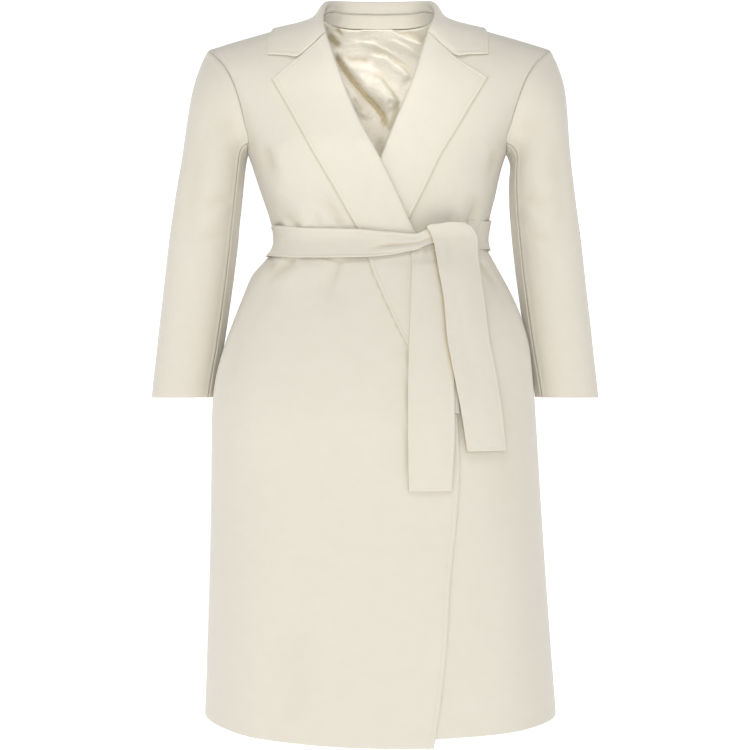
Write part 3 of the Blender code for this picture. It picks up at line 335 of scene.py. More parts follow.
BACK_CREASES = (
    (-0.0034, 0.0045, 0.0100, 0.15, 0.60, (-0.0580, -0.3060), (-0.0760, -0.2620), (-0.0860, -0.2380)),
    (0.0026, 0.0110, 0.0100, 0.20, 0.65, (-0.0420, -0.3060), (-0.0560, -0.2600)),
    (-0.0030, 0.0050, 0.0080, 0.15, 0.60, (-0.1060, -0.3060), (-0.1250, -0.2740), (-0.1340, -0.2540)),
    (-0.0034, 0.0090, 0.0045, 0.15, 0.60, (0.0180, -0.3060), (0.0120, -0.2680), (0.0080, -0.2350)),
    (0.0026, 0.0100, 0.0110, 0.20, 0.65, (-0.0010, -0.3060), (-0.0040, -0.2640)),
    (-0.0036, 0.0100, 0.0050, 0.15, 0.60, (0.0860, -0.3060), (0.1030, -0.2660), (0.1110, -0.2400)),
    (0.0024, 0.0100, 0.0100, 0.20, 0.65, (0.0680, -0.3060), (0.0800, -0.2700)),
    (-0.0030, 0.0060, 0.0090, 0.15, 0.60, (0.1220, -0.3060), (0.1360, -0.2800)),
    (-0.0034, 0.0050, 0.0110, 0.15, 0.65, (-0.0720, -0.3440), (-0.0950, -0.3900), (-0.1060, -0.4250)),
    (-0.0030, 0.0100, 0.0050, 0.15, 0.65, (0.0110, -0.3440), (0.0060, -0.3950), (0.0020, -0.4350)),
    (-0.0034, 0.0110, 0.0050, 0.15, 0.65, (0.0820, -0.3440), (0.1070, -0.3880), (0.1190, -0.4250)),
    (-0.0030, 0.0060, 0.0090, 0.15, 0.65, (-0.1220, -0.3440), (-0.1500, -0.3740)),
    (-0.0030, 0.0090, 0.0060, 0.15, 0.65, (0.1260, -0.3440), (0.1520, -0.3720)),
    (-0.0030, 0.0100, 0.0100, 0.35, 0.60, (-0.1620, -0.1780), (-0.1500, -0.2050), (-0.1300, -0.2500)),
    (-0.0034, 0.0100, 0.0090, 0.35, 0.60, (0.1600, -0.1800), (0.1460, -0.2080), (0.1270, -0.2480)),
    (0.0016, 0.0300, 0.0260, 0.40, 0.50, (-0.0600, -0.0900), (-0.0800, -0.1600), (-0.0700, -0.2400)),
    (0.0016, 0.0260, 0.0300, 0.40, 0.50, (0.0700, -0.1000), (0.0860, -0.1700), (0.0740, -0.2400)),
)
# The satin hangs in loose folds that lap over each other, slanting down to the coat's left.
LINING_CREASES = (
    (0.0085, 0.0026, 0.0180, 0.12, 0.15, (-0.0304, 0.0032), (0.0050, -0.0030), (0.0286, -0.0128),
     (0.0522, -0.0224), (0.0646, -0.0290)),
    (0.0040, 0.0028, 0.0032, 0.20, 0.15, (0.0188, 0.0072), (0.0500, 0.0045), (0.0749, 0.0003)),
    (-0.0065, 0.0024, 0.0056, 0.15, 0.45, (-0.0809, 0.0075), (-0.0639, -0.0021), (-0.0476, -0.0151)),
    (0.0046, 0.0050, 0.0050, 0.15, 0.50, (-0.0780, -0.0040), (-0.0560, -0.0200)),
    (-0.0060, 0.0030, 0.0050, 0.15, 0.50, (-0.0762, -0.0139), (-0.0506, -0.0302)),
    (-0.0040, 0.0040, 0.0090, 0.20, 0.50, (-0.0506, -0.0405), (-0.0152, -0.0434), (0.0070, -0.0479)),
    (0.0046, 0.0090, 0.0100, 0.30, 0.40, (-0.0300, -0.0200), (0.0100, -0.0230), (0.0420, -0.0350)),
    (0.0080, 0.0026, 0.0140, 0.35, 0.12, (-0.0222, -0.0350), (0.0108, -0.0420), (0.0330, -0.0570),
     (0.0470, -0.0700)),
    (0.0082, 0.0026, 0.0150, 0.35, 0.12, (-0.0202, -0.0680), (0.0030, -0.0730), (0.0163, -0.0893),
     (0.0293, -0.1091)),
    (0.0034, 0.0016, 0.0060, 0.30, 0.30, (-0.0420, -0.0180), (-0.0060, -0.0240), (0.0240, -0.0380),
     (0.0450, -0.0500)),
    (0.0028, 0.0014, 0.0050, 0.30, 0.30, (-0.0440, -0.0520), (-0.0180, -0.0560), (0.0060, -0.0660)),
    (0.0030, 0.0016, 0.0050, 0.30, 0.40, (-0.0380, -0.0720), (-0.0160, -0.0860), (0.0000, -0.1040)),
    (0.0026, 0.0014, 0.0040, 0.30, 0.30, (0.0120, -0.0160), (0.0380, -0.0270), (0.0560, -0.0400)),
    (-0.0040, 0.0030, 0.0040, 0.25, 0.35, (0.0120, -0.1030), (0.0333, -0.1080)),
    (0.0070, 0.0140, 0.0046, 0.12, 0.25, (-0.0540, -0.0400), (-0.0390, -0.0570), (-0.0180, -0.0780),
     (0.0070, -0.1020), (0.0170, -0.1230)),
    (-0.0150, 0.0026, 0.0034, 0.12, 0.25, (-0.0659, -0.0331), (-0.0510, -0.0547), (-0.0402, -0.0685),
     (-0.0277, -0.0827), (-0.0152, -0.0967), (-0.0028, -0.1092), (0.0065, -0.1218),
     (0.0089, -0.1336), (0.0096, -0.1484)),
    (0.0062, 0.0040, 0.0110, 0.12, 0.30, (-0.0690, -0.0440), (-0.0570, -0.0680), (-0.0330, -0.0940),
     (-0.0130, -0.1120)),
    (0.0052, 0.0120, 0.0030, 0.25, 0.35, (-0.0560, -0.0900), (-0.0330, -0.1120), (-0.0100, -0.1330)),
    (-0.0036, 0.0060, 0.0060, 0.30, 0.50, (0.0050, -0.1500), (0.0000, -0.1800), (-0.0060, -0.2150)),
)
# Painted shade where the satin turns from the light: strength, widths, fades, corners.
LINING_SHADES = (
    (0.50, 0.0085, 0.0006, 0.20, 0.05, (-0.0304, 0.0060), (0.0050, 0.0000), (0.0286, -0.0100),
     (0.0522, -0.0196), (0.0646, -0.0262)),
    (0.45, 0.0090, 0.0006, 0.30, 0.05, (-0.0222, -0.0322), (0.0108, -0.0392), (0.0330, -0.0542),
     (0.0470, -0.0672)),
    (0.45, 0.0080, 0.0006, 0.30, 0.05, (-0.0202, -0.0652), (0.0030, -0.0702), (0.0163, -0.0865),
     (0.0293, -0.1063)),
    (0.95, 0.0020, 0.0030, 0.15, 0.25, (-0.0800, 0.0060), (-0.0650, -0.0010), (-0.0490, -0.0150)),
    (0.80, 0.0022, 0.0022, 0.20, 0.40, (-0.0720, -0.0120), (-0.0620, -0.0200), (-0.0520, -0.0250)),
    (0.55, 0.0030, 0.0040, 0.30, 0.50, (-0.0560, -0.0405), (-0.0350, -0.0420), (-0.0200, -0.0450)),
    (0.70, 0.0026, 0.0034, 0.20, 0.30, (-0.0390, -0.0930), (-0.0300, -0.1090), (-0.0220, -0.1200)),
    (0.85, 0.0060, 0.0070, 0.20, 0.15, (0.0310, -0.1030), (0.0220, -0.1240), (0.0130, -0.1480)),
    (0.60, 0.0090, 0.0090, 0.30, 0.05, (-0.0030, -0.1450), (0.0030, -0.1650), (0.0040, -0.1850)),
)
LINING_HOLLOW = 0.0060  # a trough this deep takes the whole painted shade on the lining
LINING_SLACK = 0.0090   # how far the lining bellies in from the cloth behind it
LINING_SIDE = 0.03      # over this length from its sides the slack grows
LINING_FOOT = 0.10      # and over this length from its foot
LINING_FADE = 0.007     # over this height its folds grow from the neck seam
LINING_BEHIND = 0.1     # folds that run back towards the cloth keep this share of their depth
LINING_DUSK = 0.32      # how far the satin turns to its painted shade colour deep inside the coat
DUSK_TOP, DUSK_DEEP = -0.05, 0.10   # height where that begins, and over how much it grows
LINING_LET_UP = 0.010   # the lining's top row is raised to its seam over this length
# Round a sleeve: height, widths, fades, then corners as length across and down the cloth.
SLEEVE_CREASES = (
    (-0.0022, 0.018, 0.026, 0.35, 0.45, (0.060, 0.060), (0.078, 0.150), (0.070, 0.260)),
    (0.0020, 0.022, 0.020, 0.35, 0.45, (0.104, 0.080), (0.110, 0.200), (0.122, 0.330)),
    (-0.0018, 0.020, 0.022, 0.35, 0.45, (0.150, 0.090), (0.158, 0.210), (0.150, 0.340)),
    (-0.0022, 0.008, 0.014, 0.30, 0.60, (0.004, 0.150), (0.040, 0.172), (0.078, 0.168)),
    (0.0018, 0.010, 0.012, 0.30, 0.60, (0.004, 0.170), (0.038, 0.192), (0.070, 0.192)),
    (-0.0018, 0.008, 0.012, 0.30, 0.60, (0.006, 0.205), (0.042, 0.222), (0.076, 0.214)),
    (-0.0020, 0.012, 0.018, 0.25, 0.60, (0.030, 0.006), (0.046, 0.050), (0.050, 0.100)),
    (0.0014, 0.020, 0.020, 0.35, 0.40, (0.200, 0.120), (0.205, 0.240), (0.196, 0.380)),
)
UNDER_SLEEVE_CREASES = (
    (-0.0020, 0.010, 0.014, 0.30, 0.50, (0.010, 0.110), (0.050, 0.128), (0.096, 0.120)),
    (0.0016, 0.012, 0.012, 0.30, 0.50, (0.012, 0.140), (0.054, 0.156), (0.100, 0.150)),
    (-0.0016, 0.016, 0.018, 0.35, 0.45, (0.060, 0.190), (0.066, 0.260), (0.058, 0.330)),
)
# On the belt: the band is drawn together in these folds before it reaches the knot.
BAND_CREASES = (
    (-0.0022, 0.0016, 0.0030, 0.45, 0.04, (-0.0260, -0.3360), (0.0082, -0.3290), (0.0340, -0.3273),
     (0.0660, -0.3232)),
    (0.0016, 0.0030, 0.0050, 0.50, 0.04, (-0.0100, -0.3380), (0.0240, -0.3330), (0.0660, -0.3262)),
    (0.0012, 0.0060, 0.0060, 0.50, 0.04, (-0.0300, -0.3200), (0.0200, -0.3200), (0.0660, -0.3185)),
    (-0.0010, 0.0024, 0.0040, 0.55, 0.04, (0.0000, -0.3150), (0.0340, -0.3180), (0.0660, -0.3200)),
)
LONG_END_CREASES = (
    (-0.0030, 0.0024, 0.0040, 0.06, 0.65, (0.0720, -0.3240), (0.0640, -0.3360), (0.0610, -0.3500)),
    (0.0024, 0.0050, 0.0036, 0.06, 0.65, (0.0700, -0.3250), (0.0560, -0.3400), (0.0520, -0.3560)),
    (-0.0022, 0.0026, 0.0036, 0.06, 0.65, (0.0660, -0.3280), (0.0500, -0.3380), (0.0465, -0.3460)),
    (0.0010, 0.0120, 0.0120, 0.30, 0.40, (0.0700, -0.3900), (0.0640, -0.4700), (0.0660, -0.5600)),
)
SHORT_END_CREASES = (
    (-0.0014, 0.0080, 0.0100, 0.30, 0.60, (0.0860, -0.3020), (0.0920, -0.3400), (0.0960, -0.3800)),
    (0.0012, 0.0100, 0.0100, 0.30, 0.50, (0.1080, -0.3300), (0.1150, -0.4000), (0.1260, -0.4700)),
    (-0.0010, 0.0120, 0.0120, 0.30, 0.40, (0.1000, -0.4300), (0.1180, -0.5000), (0.1300, -0.5700)),
)
GORGE = ((0.1050, -0.0729), (0.0802, -0.0543), (0.0700, -0.0400))
GORGE_MIDDLE = -0.0022  # the two gorge seams mirror each other about this x
BELT_HALF = 0.018       # the belt holds the cloth flat over this height
BELT_FOLD_DEEP = 0.003  # a trough this deep takes the whole painted shade on the belt
BAND_ON = 0.0200        # how far the band runs on behind the flap
BAND_FORWARD = 0.0160   # and how far forward it stands there
TO_KNOT, BAND_LOOP = (0.032, 0.028), (0.043, 0.016)     # x where each begins, and over how much
PINCH_RIGHT, PINCH_LEFT = 0.0052, 0.0015    # how far the belt draws in the coat's two sides
PINCH_HIGH, BAND_HIGH = 0.021, 0.08         # over these heights, on the coat and on the belt


def torso_folds(creases):
    """Folds that run through every layer on the torso alike."""
    def apply(wall):
        x, z = wall.face[..., 0], wall.face[..., 2]
        held = 1 - hump(z - WAIST_Z, BELT_HALF) ** 4
        wall.fold(crease_height(x, z, creases) * held, out_of_torso(wall.face))
        pinched(wall)
    return apply


def lining_folds(wall):
    """The satin bellies forward in its folds, takes painted shade in them and deep inside the coat, and
    rises to its seam.
    """
    x, z = wall.face[..., 0], wall.face[..., 2]
    grown = smooth(wall.down / LINING_FADE)[:, None]
    sides = np.minimum(wall.across, wall.across[-1] - wall.across) / LINING_SIDE
    foot = (wall.down[-1] - wall.down) / LINING_FOOT
    slack = LINING_SLACK * smooth(sides)[None] * smooth(foot)[:, None]
    creased = crease_height(x, z, LINING_CREASES) * grown
    height = creased + slack * grown
    wall.fold(np.where(height < 0, LINING_BEHIND * height, height), FORWARD)
    dusk = LINING_DUSK * smooth((DUSK_TOP - z) / DUSK_DEEP)
    shade = np.minimum(crease_height(x, z, LINING_SHADES), 1.0)
    # Painted shade: in the troughs, deeper inside the coat, and where the satin turns from the light.
    wall.painted_shade = np.maximum.reduce([smooth(-creased / LINING_HOLLOW), dusk, shade])
    let_up = (1 - smooth(wall.down / LINING_LET_UP))[:, None]
    moved(wall, dy=-0.0016 * let_up, dz=0.0032 * let_up)


def cloth_folds(creases):
    """Folds placed by length across and down the cloth, standing out from its own face."""
    def apply(wall):
        across, down = np.meshgrid(wall.across, wall.down)
        wall.fold(crease_height(across, down, creases), unit(wall.face - wall.back))
    return apply


def moved(wall, dx=0.0, dy=0.0, dz=0.0):
    """Move both faces of a wall by amounts given at each of its points."""
    shift = np.stack(np.broadcast_arrays(dx + 0 * wall.painted_shade, dy, dz), axis=-1)
    wall.face, wall.back = wall.face + shift, wall.back + shift


def band_folds(wall):
    """The band runs on behind the flap at both ends, and rises in a loop before the knot."""
    x, y, z = np.moveaxis(wall.face, -1, 0)
    height = np.where(y < 0, crease_height(x, z, BAND_CREASES), 0.0)
    wall.fold(height, out_of_torso(wall.face))
    # Painted shade in the band's troughs.
    wall.painted_shade = smooth(-height / BELT_FOLD_DEEP)
    from_top = np.broadcast_to(wall.across / wall.across[-1], x.shape)
    to_knot = ramp(x, *TO_KNOT) * (wall.down > wall.down[-1] / 2)[:, None]
    loop = ramp(x, *BAND_LOOP) * (to_knot > 0)
    from_flap = (1 - smooth(wall.down / 0.022))[:, None] + 0 * x
    moved(wall, dx=0.0105 * to_knot - BAND_ON * from_flap,
          dy=-0.0038 * to_knot - BAND_FORWARD * from_flap,
          dz=loop * (0.0105 * (1 - from_top) ** 1.5 + 0.0050 * from_top ** 3)
          + 0.0030 * from_flap * (1 - from_top))
    pinched(wall, BAND_HIGH)


def pinched(wall, height=PINCH_HIGH):
    """The belt draws the coat in a little at both sides of the waist."""
    x, z = wall.face[..., 0], wall.face[..., 2]
    sides = ramp(np.abs(x), 0.09, 0.05) * hump(z - WAIST_Z, height)
    moved(wall, dx=-np.sign(x) * np.where(x < 0, PINCH_RIGHT, PINCH_LEFT) * sides)


def collar_folds(wall):
    """Along the gorge seam the collar sinks into the lapel it is sewn to."""
    x, z = wall.face[..., 0], wall.face[..., 2]
    away, share = off_polyline(np.abs(x - GORGE_MIDDLE), z, GORGE)
    moved(wall, dy=0.0056 * hump(away, 0.0060) * smooth(share / 0.20) * (wall.face[..., 1] < 0))


def knot_folds(wall):
    """Both ends of the knot are drawn in behind the flap."""
    x = wall.face[..., 0]
    left, right = 1 - ramp(x, 0.0614, 0.030), ramp(x, 0.098, 0.036)
    moved(wall, dx=0.0120 * left - 0.0180 * right, dz=-0.0060 * right)


def long_end_folds(wall):
    """Its top slips under the band in soft folds that run out from the knot."""
    x, z = wall.face[..., 0], wall.face[..., 2]
    wall.fold(crease_height(x, z, LONG_END_CREASES), FORWARD)
    top = ramp(z, -0.356, 0.018)
    middle = (x[-1].max() + x[-1].min()) / 2
    moved(wall, dx=np.clip((middle - 0.004 - x) * -0.55, -0.012, 0.006) * top * (z > -0.3395),
          dy=0.0045 * top, dz=0.0085 * ramp(z, -0.350, 0.016))


def short_end_folds(wall):
    """The flap is arched where it turns over the knot, fuller on its right."""
    x, z = wall.face[..., 0], wall.face[..., 2]
    share = np.broadcast_to(wall.across / wall.across[-1], x.shape)
    top = ramp(z, -0.345, 0.034)
    moved(wall, dx=top * (0.0052 * smooth(share / 0.9) - 0.0040 * (1 - smooth(share / 0.12))
                          * ramp(z, -0.308, 0.008)),
          dy=-0.0045 * share * hump(z + 0.37, 0.07),
          dz=-0.0038 * ramp(z, -0.312, 0.012) * (1 - smooth(share / 0.55)) + 0.0012 * top)
    wall.fold(crease_height(x, z, SHORT_END_CREASES), FORWARD)


def shaded_under(wall, laid):
    """Paint a warm shadow on the cloth in the narrow gap beside each edge that lies over it."""
    x, y, z = np.moveaxis(wall.face, -1, 0)
    for name, side, strength, width in laid:
        over = walls[name]
        line = {"start": over.face[:, 0], "end": over.face[:, -1], "top": over.face[0],
                "foot": over.face[-1]}[side]
        line = line[line[:, 1] < 0][::3, [0, 2]]
        near = strength * hump(off_polyline(x, z, line)[0], width) * (y < 0)
        wall.painted_shade = np.maximum(wall.painted_shade, near)


# -------- edges and shells
ROLL = 0.0010           # how far a turned edge rounds in from its rim
SEAM_ROLL = -0.00035    # a seam's edge is let out, so that it meets its neighbour
SEAM_SHADE = 0.12       # painted shade: a seam shows as a faint warm line
RIM_TURNS = (50, 0, -50)    # degrees round the rim, from the face to the back
STITCH_IN = 0.0051      # the line of stitches stands this far inside a finished edge
# Relief beside an edge: the kind of edge, height, how far in it stands, and width.
EDGE_RELIEF = (("finished", 0.00022, 0.0030, 0.0017), ("finished", -0.00034, STITCH_IN, 0.0009),
               ("sewn", 0.00060, 0.0045, 0.0026), ("sewn", -0.00020, 0.0090, 0.0020))


def edge_distance(wall, sides):
    """Length along the cloth to the nearest of the named sides of its grid."""
    rows, columns = len(wall.down), len(wall.across)
    reach = {"top": wall.down[:, None] + np.zeros(columns),
             "foot": (wall.down[-1] - wall.down)[:, None] + np.zeros(columns),
             "start": wall.across[None] + np.zeros((rows, 1)),
             "end": (wall.across[-1] - wall.across)[None] + np.zeros((rows, 1))}
    return np.minimum.reduce([np.full((rows, columns), 9.0)] + [reach[side] for side in sides])


def press_edges(wall, finished, sewn):
    """A finished edge is puffed out to its stitches; a sewn one is raised beside its seam, with painted
    shade along it.
    """
    out = unit(wall.face - wall.back)
    inside = {"finished": edge_distance(wall, finished), "sewn": edge_distance(wall, sewn)}
    # Painted shade in a faint warm line along each seam.
    wall.painted_shade = np.maximum(wall.painted_shade, SEAM_SHADE * hump(inside["sewn"], 0.0008))
    height = sum(rise * hump(inside[edge] - place, width) for edge, rise, place, width in EDGE_RELIEF)
    wall.face = wall.face + out * height[..., None]
    wall.back = wall.back - out * 0.5 * height[..., None]
    return inside["finished"]


def shell(name, wall, finished=(), sewn=()):
    """A closed object from a wall: both faces, and a rim that rolls from one to the other."""
    from_edge = press_edges(wall, finished, sewn)
    face, back = wall.face.copy(), wall.back.copy()
    rows, columns = face.shape[:2]
    around = ([(0, j) for j in range(columns)] + [(i, columns - 1) for i in range(1, rows)]
              + [(rows - 1, j) for j in range(columns - 2, -1, -1)]
              + [(i, 0) for i in range(rows - 2, 0, -1)])
    i, j = np.array(around).T
    step_in = np.zeros((len(around), 3))
    roll = np.zeros(len(around))
    for side, at_side, inner in (("top", i == 0, (np.minimum(i + 1, rows - 1), j)),
                                 ("foot", i == rows - 1, (np.maximum(i - 1, 0), j)),
                                 ("start", j == 0, (i, np.minimum(j + 1, columns - 1))),
                                 ("end", j == columns - 1, (i, np.maximum(j - 1, 0)))):
        step_in += unit(face[inner] - face[i, j]) * at_side[:, None]
        roll = np.where(at_side, SEAM_ROLL if side in sewn else ROLL, roll)
    roll = roll[:, None]
    middle, half = (face[i, j] + back[i, j]) / 2, (face[i, j] - back[i, j]) / 2
    rims = []
    for turn in np.radians(RIM_TURNS):
        rims.append(middle + step_in * roll * (1 - math.cos(turn)) + half * math.sin(turn))
    face[i, j] += step_in * roll
    back[i, j] += step_in * roll
    points = np.concatenate([face.reshape(-1, 3), back.reshape(-1, 3), *rims])

    index = np.arange(rows * columns).reshape(rows, columns)
    cells = np.stack([index[:-1, :-1], index[:-1, 1:], index[1:, 1:], index[1:, :-1]], axis=-1)
    cells = cells.reshape(-1, 4)
    count = rows * columns
    rings = [index[i, j]]
    rings += [2 * count + k * len(around) + np.arange(len(around)) for k in range(len(rims))]
    rings.append(count + index[i, j])
    quads = [cells, cells[:, ::-1] + count]
    for upper, lower in zip(rings, rings[1:]):
        quads.append(np.stack([upper, lower, np.roll(lower, -1), np.roll(upper, -1)], axis=-1))
    quads = np.concatenate(quads)

    mesh = bpy.data.meshes.new(name)
    mesh.from_pydata(points.tolist(), [], quads.tolist())
    flat = np.stack(np.meshgrid(wall.across, wall.down), axis=-1).reshape(-1, 2)
    flat = np.concatenate([flat, flat] + [flat[index[i, j]]] * len(rims))
    corner_verts = np.empty(len(mesh.loops), dtype=np.int32)
    mesh.loops.foreach_get("vertex_index", corner_verts)
    layer = mesh.uv_layers.new(name="cloth")
    layer.data.foreach_set("uv", flat[corner_verts].ravel())
    for label, values in (("from_edge", from_edge), ("painted_shade", wall.painted_shade)):
        values = values.reshape(-1)
        values = np.concatenate([values, values] + [values[index[i, j]]] * len(rims))
        mesh.attributes.new(label, "FLOAT", "POINT").data.foreach_set("value", values)
    work = bmesh.new()
    work.from_mesh(mesh)
    bmesh.ops.recalc_face_normals(work, faces=work.faces[:])
    work.to_mesh(mesh)
    work.free()
    mesh.shade_smooth()
    return put(name, mesh)


# -------- materials
WAVE_PER_TURN = 0.3142  # a wave texture of this scale has one band for each unit
# Painted shade along the rim of a finished edge, in this warm tan.
EDGE_SHADE_COLOUR = (0.58, 0.50, 0.38, 1.0)
EDGE_SHADE_REACH, EDGE_SHADE_MOST = 0.0012, 0.16    # how far in from an edge the painted shade shows, and how much


def node(tree, kind, **settings):
    """A new node with its settings."""
    made = tree.nodes.new(kind)
    for name, value in settings.items():
        setattr(made, name, value)
    return made


def fill(made, values):
    """Set a node's own sockets to plain values."""
    for name, value in values.items():
        made.inputs[name].default_value = value


def new_material(name):
    """A new material, its node tree and its shader."""
    material = bpy.data.materials.new(name)
    material.use_nodes = True
    return material, material.node_tree, material.node_tree.nodes["Principled BSDF"]


def mix_colour(tree, first, second, factor):
    """A Mix node of two colours; each may be a socket or a plain colour."""
    mix = node(tree, "ShaderNodeMix", data_type="RGBA")
    for slot, value in ((0, factor), (6, first), (7, second)):
        if isinstance(value, bpy.types.NodeSocket):
            tree.links.new(value, mix.inputs[slot])
        else:
            mix.inputs[slot].default_value = value
    return mix.outputs[2]


def math_node(tree, operation, *values):
    """The result of a Math node; each value may be a socket or a plain number."""
    made = node(tree, "ShaderNodeMath", operation=operation)
    for slot, value in enumerate(values):
        if isinstance(value, bpy.types.NodeSocket):
            tree.links.new(value, made.inputs[slot])
        else:
            made.inputs[slot].default_value = value
    return made.outputs[0]


def cloth_group():
    """Threads and nap of a cloth: a height for bump, and a mottling mask."""
    tree = bpy.data.node_groups.new("cloth surface", "ShaderNodeTree")
    for name, kind in (("Place", "NodeSocketVector"), ("Thread", "NodeSocketFloat"),
                       ("Nap", "NodeSocketFloat")):
        tree.interface.new_socket(name=name, in_out="INPUT", socket_type=kind)
    for name in ("Height", "Mottling"):
        tree.interface.new_socket(name=name, in_out="OUTPUT", socket_type="NodeSocketFloat")
    inside, outside = node(tree, "NodeGroupInput"), node(tree, "NodeGroupOutput")
    link = tree.links.new
    scaled = node(tree, "ShaderNodeVectorMath", operation="SCALE")
    link(inside.outputs["Place"], scaled.inputs[0])
    link(math_node(tree, "DIVIDE", 1.0, inside.outputs["Thread"]), scaled.inputs["Scale"])
    ribs = []
    for direction in ("X", "DIAGONAL"):
        wave = node(tree, "ShaderNodeTexWave", wave_type="BANDS", bands_direction=direction)
        fill(wave, {"Scale": WAVE_PER_TURN, "Distortion": 1.2, "Detail": 1.0})
        link(scaled.outputs[0], wave.inputs["Vector"])
        ribs.append(wave.outputs["Fac"])
    threads = math_node(tree, "MULTIPLY", *ribs)
    fibres = node(tree, "ShaderNodeTexNoise")
    fill(fibres, {"Scale": 1.3, "Detail": 4.0, "Roughness": 0.65})
    link(scaled.outputs[0], fibres.inputs["Vector"])
    patches = node(tree, "ShaderNodeTexNoise")
    fill(patches, {"Scale": 55.0, "Detail": 5.0, "Roughness": 0.6})
    link(inside.outputs["Place"], patches.inputs["Vector"])
    napped = math_node(tree, "MULTIPLY", fibres.outputs["Fac"], inside.outputs["Nap"])
    bare = math_node(tree, "MULTIPLY", threads, math_node(tree, "SUBTRACT", 1.0, inside.outputs["Nap"]))
    link(math_node(tree, "ADD", napped, bare), outside.inputs["Height"])
    link(patches.outputs["Fac"], outside.inputs["Mottling"])
    return tree


def cloth_material(name, colours, shade, shade_most, roughness, thread, nap, relief, sheen,
                   specular, rumple):
    """Cloth of two near colours, mottled, with warm painted shade in its troughs, seams and gaps and at
    its edges, its threads and nap in relief.
    """
    material, tree, shader = new_material(name)
    link = tree.links.new
    place = node(tree, "ShaderNodeUVMap", uv_map="cloth")
    surface = node(tree, "ShaderNodeGroup", node_tree=surfaces)
    fill(surface, {"Thread": thread, "Nap": nap})
    link(place.outputs[0], surface.inputs["Place"])
    light, dark = ((*colour, 1.0) for colour in colours)
    mottled = mix_colour(tree, light, dark, surface.outputs["Mottling"])
    # Painted shade at the rim of each finished edge.
    edge = node(tree, "ShaderNodeAttribute", attribute_name="from_edge")
    edge_shade = node(tree, "ShaderNodeMapRange", interpolation_type="SMOOTHSTEP")
    fill(edge_shade, {"From Min": 0.0, "From Max": EDGE_SHADE_REACH, "To Min": EDGE_SHADE_MOST, "To Max": 0.0})
    link(edge.outputs["Fac"], edge_shade.inputs["Value"])
    edge_shaded = mix_colour(tree, mottled, EDGE_SHADE_COLOUR, edge_shade.outputs[0])
    # Painted shade in troughs, seams, gaps and deep inside the coat.
    shade_mask = node(tree, "ShaderNodeAttribute", attribute_name="painted_shade")
    shaded = mix_colour(tree, edge_shaded, (*shade, 1.0),
                        math_node(tree, "MULTIPLY", shade_mask.outputs["Fac"], shade_most))
    link(shaded, shader.inputs["Base Color"])
    fill(shader, {"Roughness": roughness, "Sheen Weight": sheen, "Sheen Roughness": 0.5,
                  "Specular IOR Level": specular})
    bump = node(tree, "ShaderNodeBump")
    fill(bump, {"Strength": 1.0, "Distance": relief})
    link(surface.outputs["Height"], bump.inputs["Height"])
    rumpled = node(tree, "ShaderNodeBump")
    fill(rumpled, {"Strength": 1.0, "Distance": rumple})
    link(surface.outputs["Mottling"], rumpled.inputs["Height"])
    link(rumpled.outputs[0], bump.inputs["Normal"])
    link(bump.outputs[0], shader.inputs["Normal"])
    return material


surfaces = cloth_group()
wool = cloth_material("ivory_wool", ((0.682, 0.641, 0.556), (0.648, 0.604, 0.516)),
                      shade=(0.47, 0.385, 0.235), shade_most=0.85, roughness=0.88, thread=0.0009,
                      nap=0.6, relief=0.0002, sheen=0.30, specular=0.25, rumple=0.0003)
satin = cloth_material("ivory_satin", ((0.93, 0.88, 0.77), (0.88, 0.82, 0.70)),
                       shade=(0.44, 0.355, 0.19), shade_most=0.90, roughness=0.38, thread=0.0004,
                       nap=0.25, relief=0.00006, sheen=0.10, specular=0.5, rumple=0.0035)


def thread_material():
    """Sewing thread: two ivories a little deeper than the wool, in a very fine mottling."""
    material, tree, shader = new_material("ivory_thread")
    place = node(tree, "ShaderNodeTexCoord")
    plies = node(tree, "ShaderNodeTexNoise")
    fill(plies, {"Scale": 2200.0})
    tree.links.new(place.outputs["Object"], plies.inputs["Vector"])
    colour = mix_colour(tree, (0.68, 0.63, 0.52, 1.0), (0.56, 0.51, 0.40, 1.0), plies.outputs["Fac"])
    tree.links.new(colour, shader.inputs["Base Color"])
    fill(shader, {"Roughness": 0.6})
    return material


thread = thread_material()


# -------- stitches
STITCH_SIZES = {"Pitch": 0.0036, "Length": 0.0023, "Thickness": 0.00042, "Uneven": 0.10, "Seed": 7}


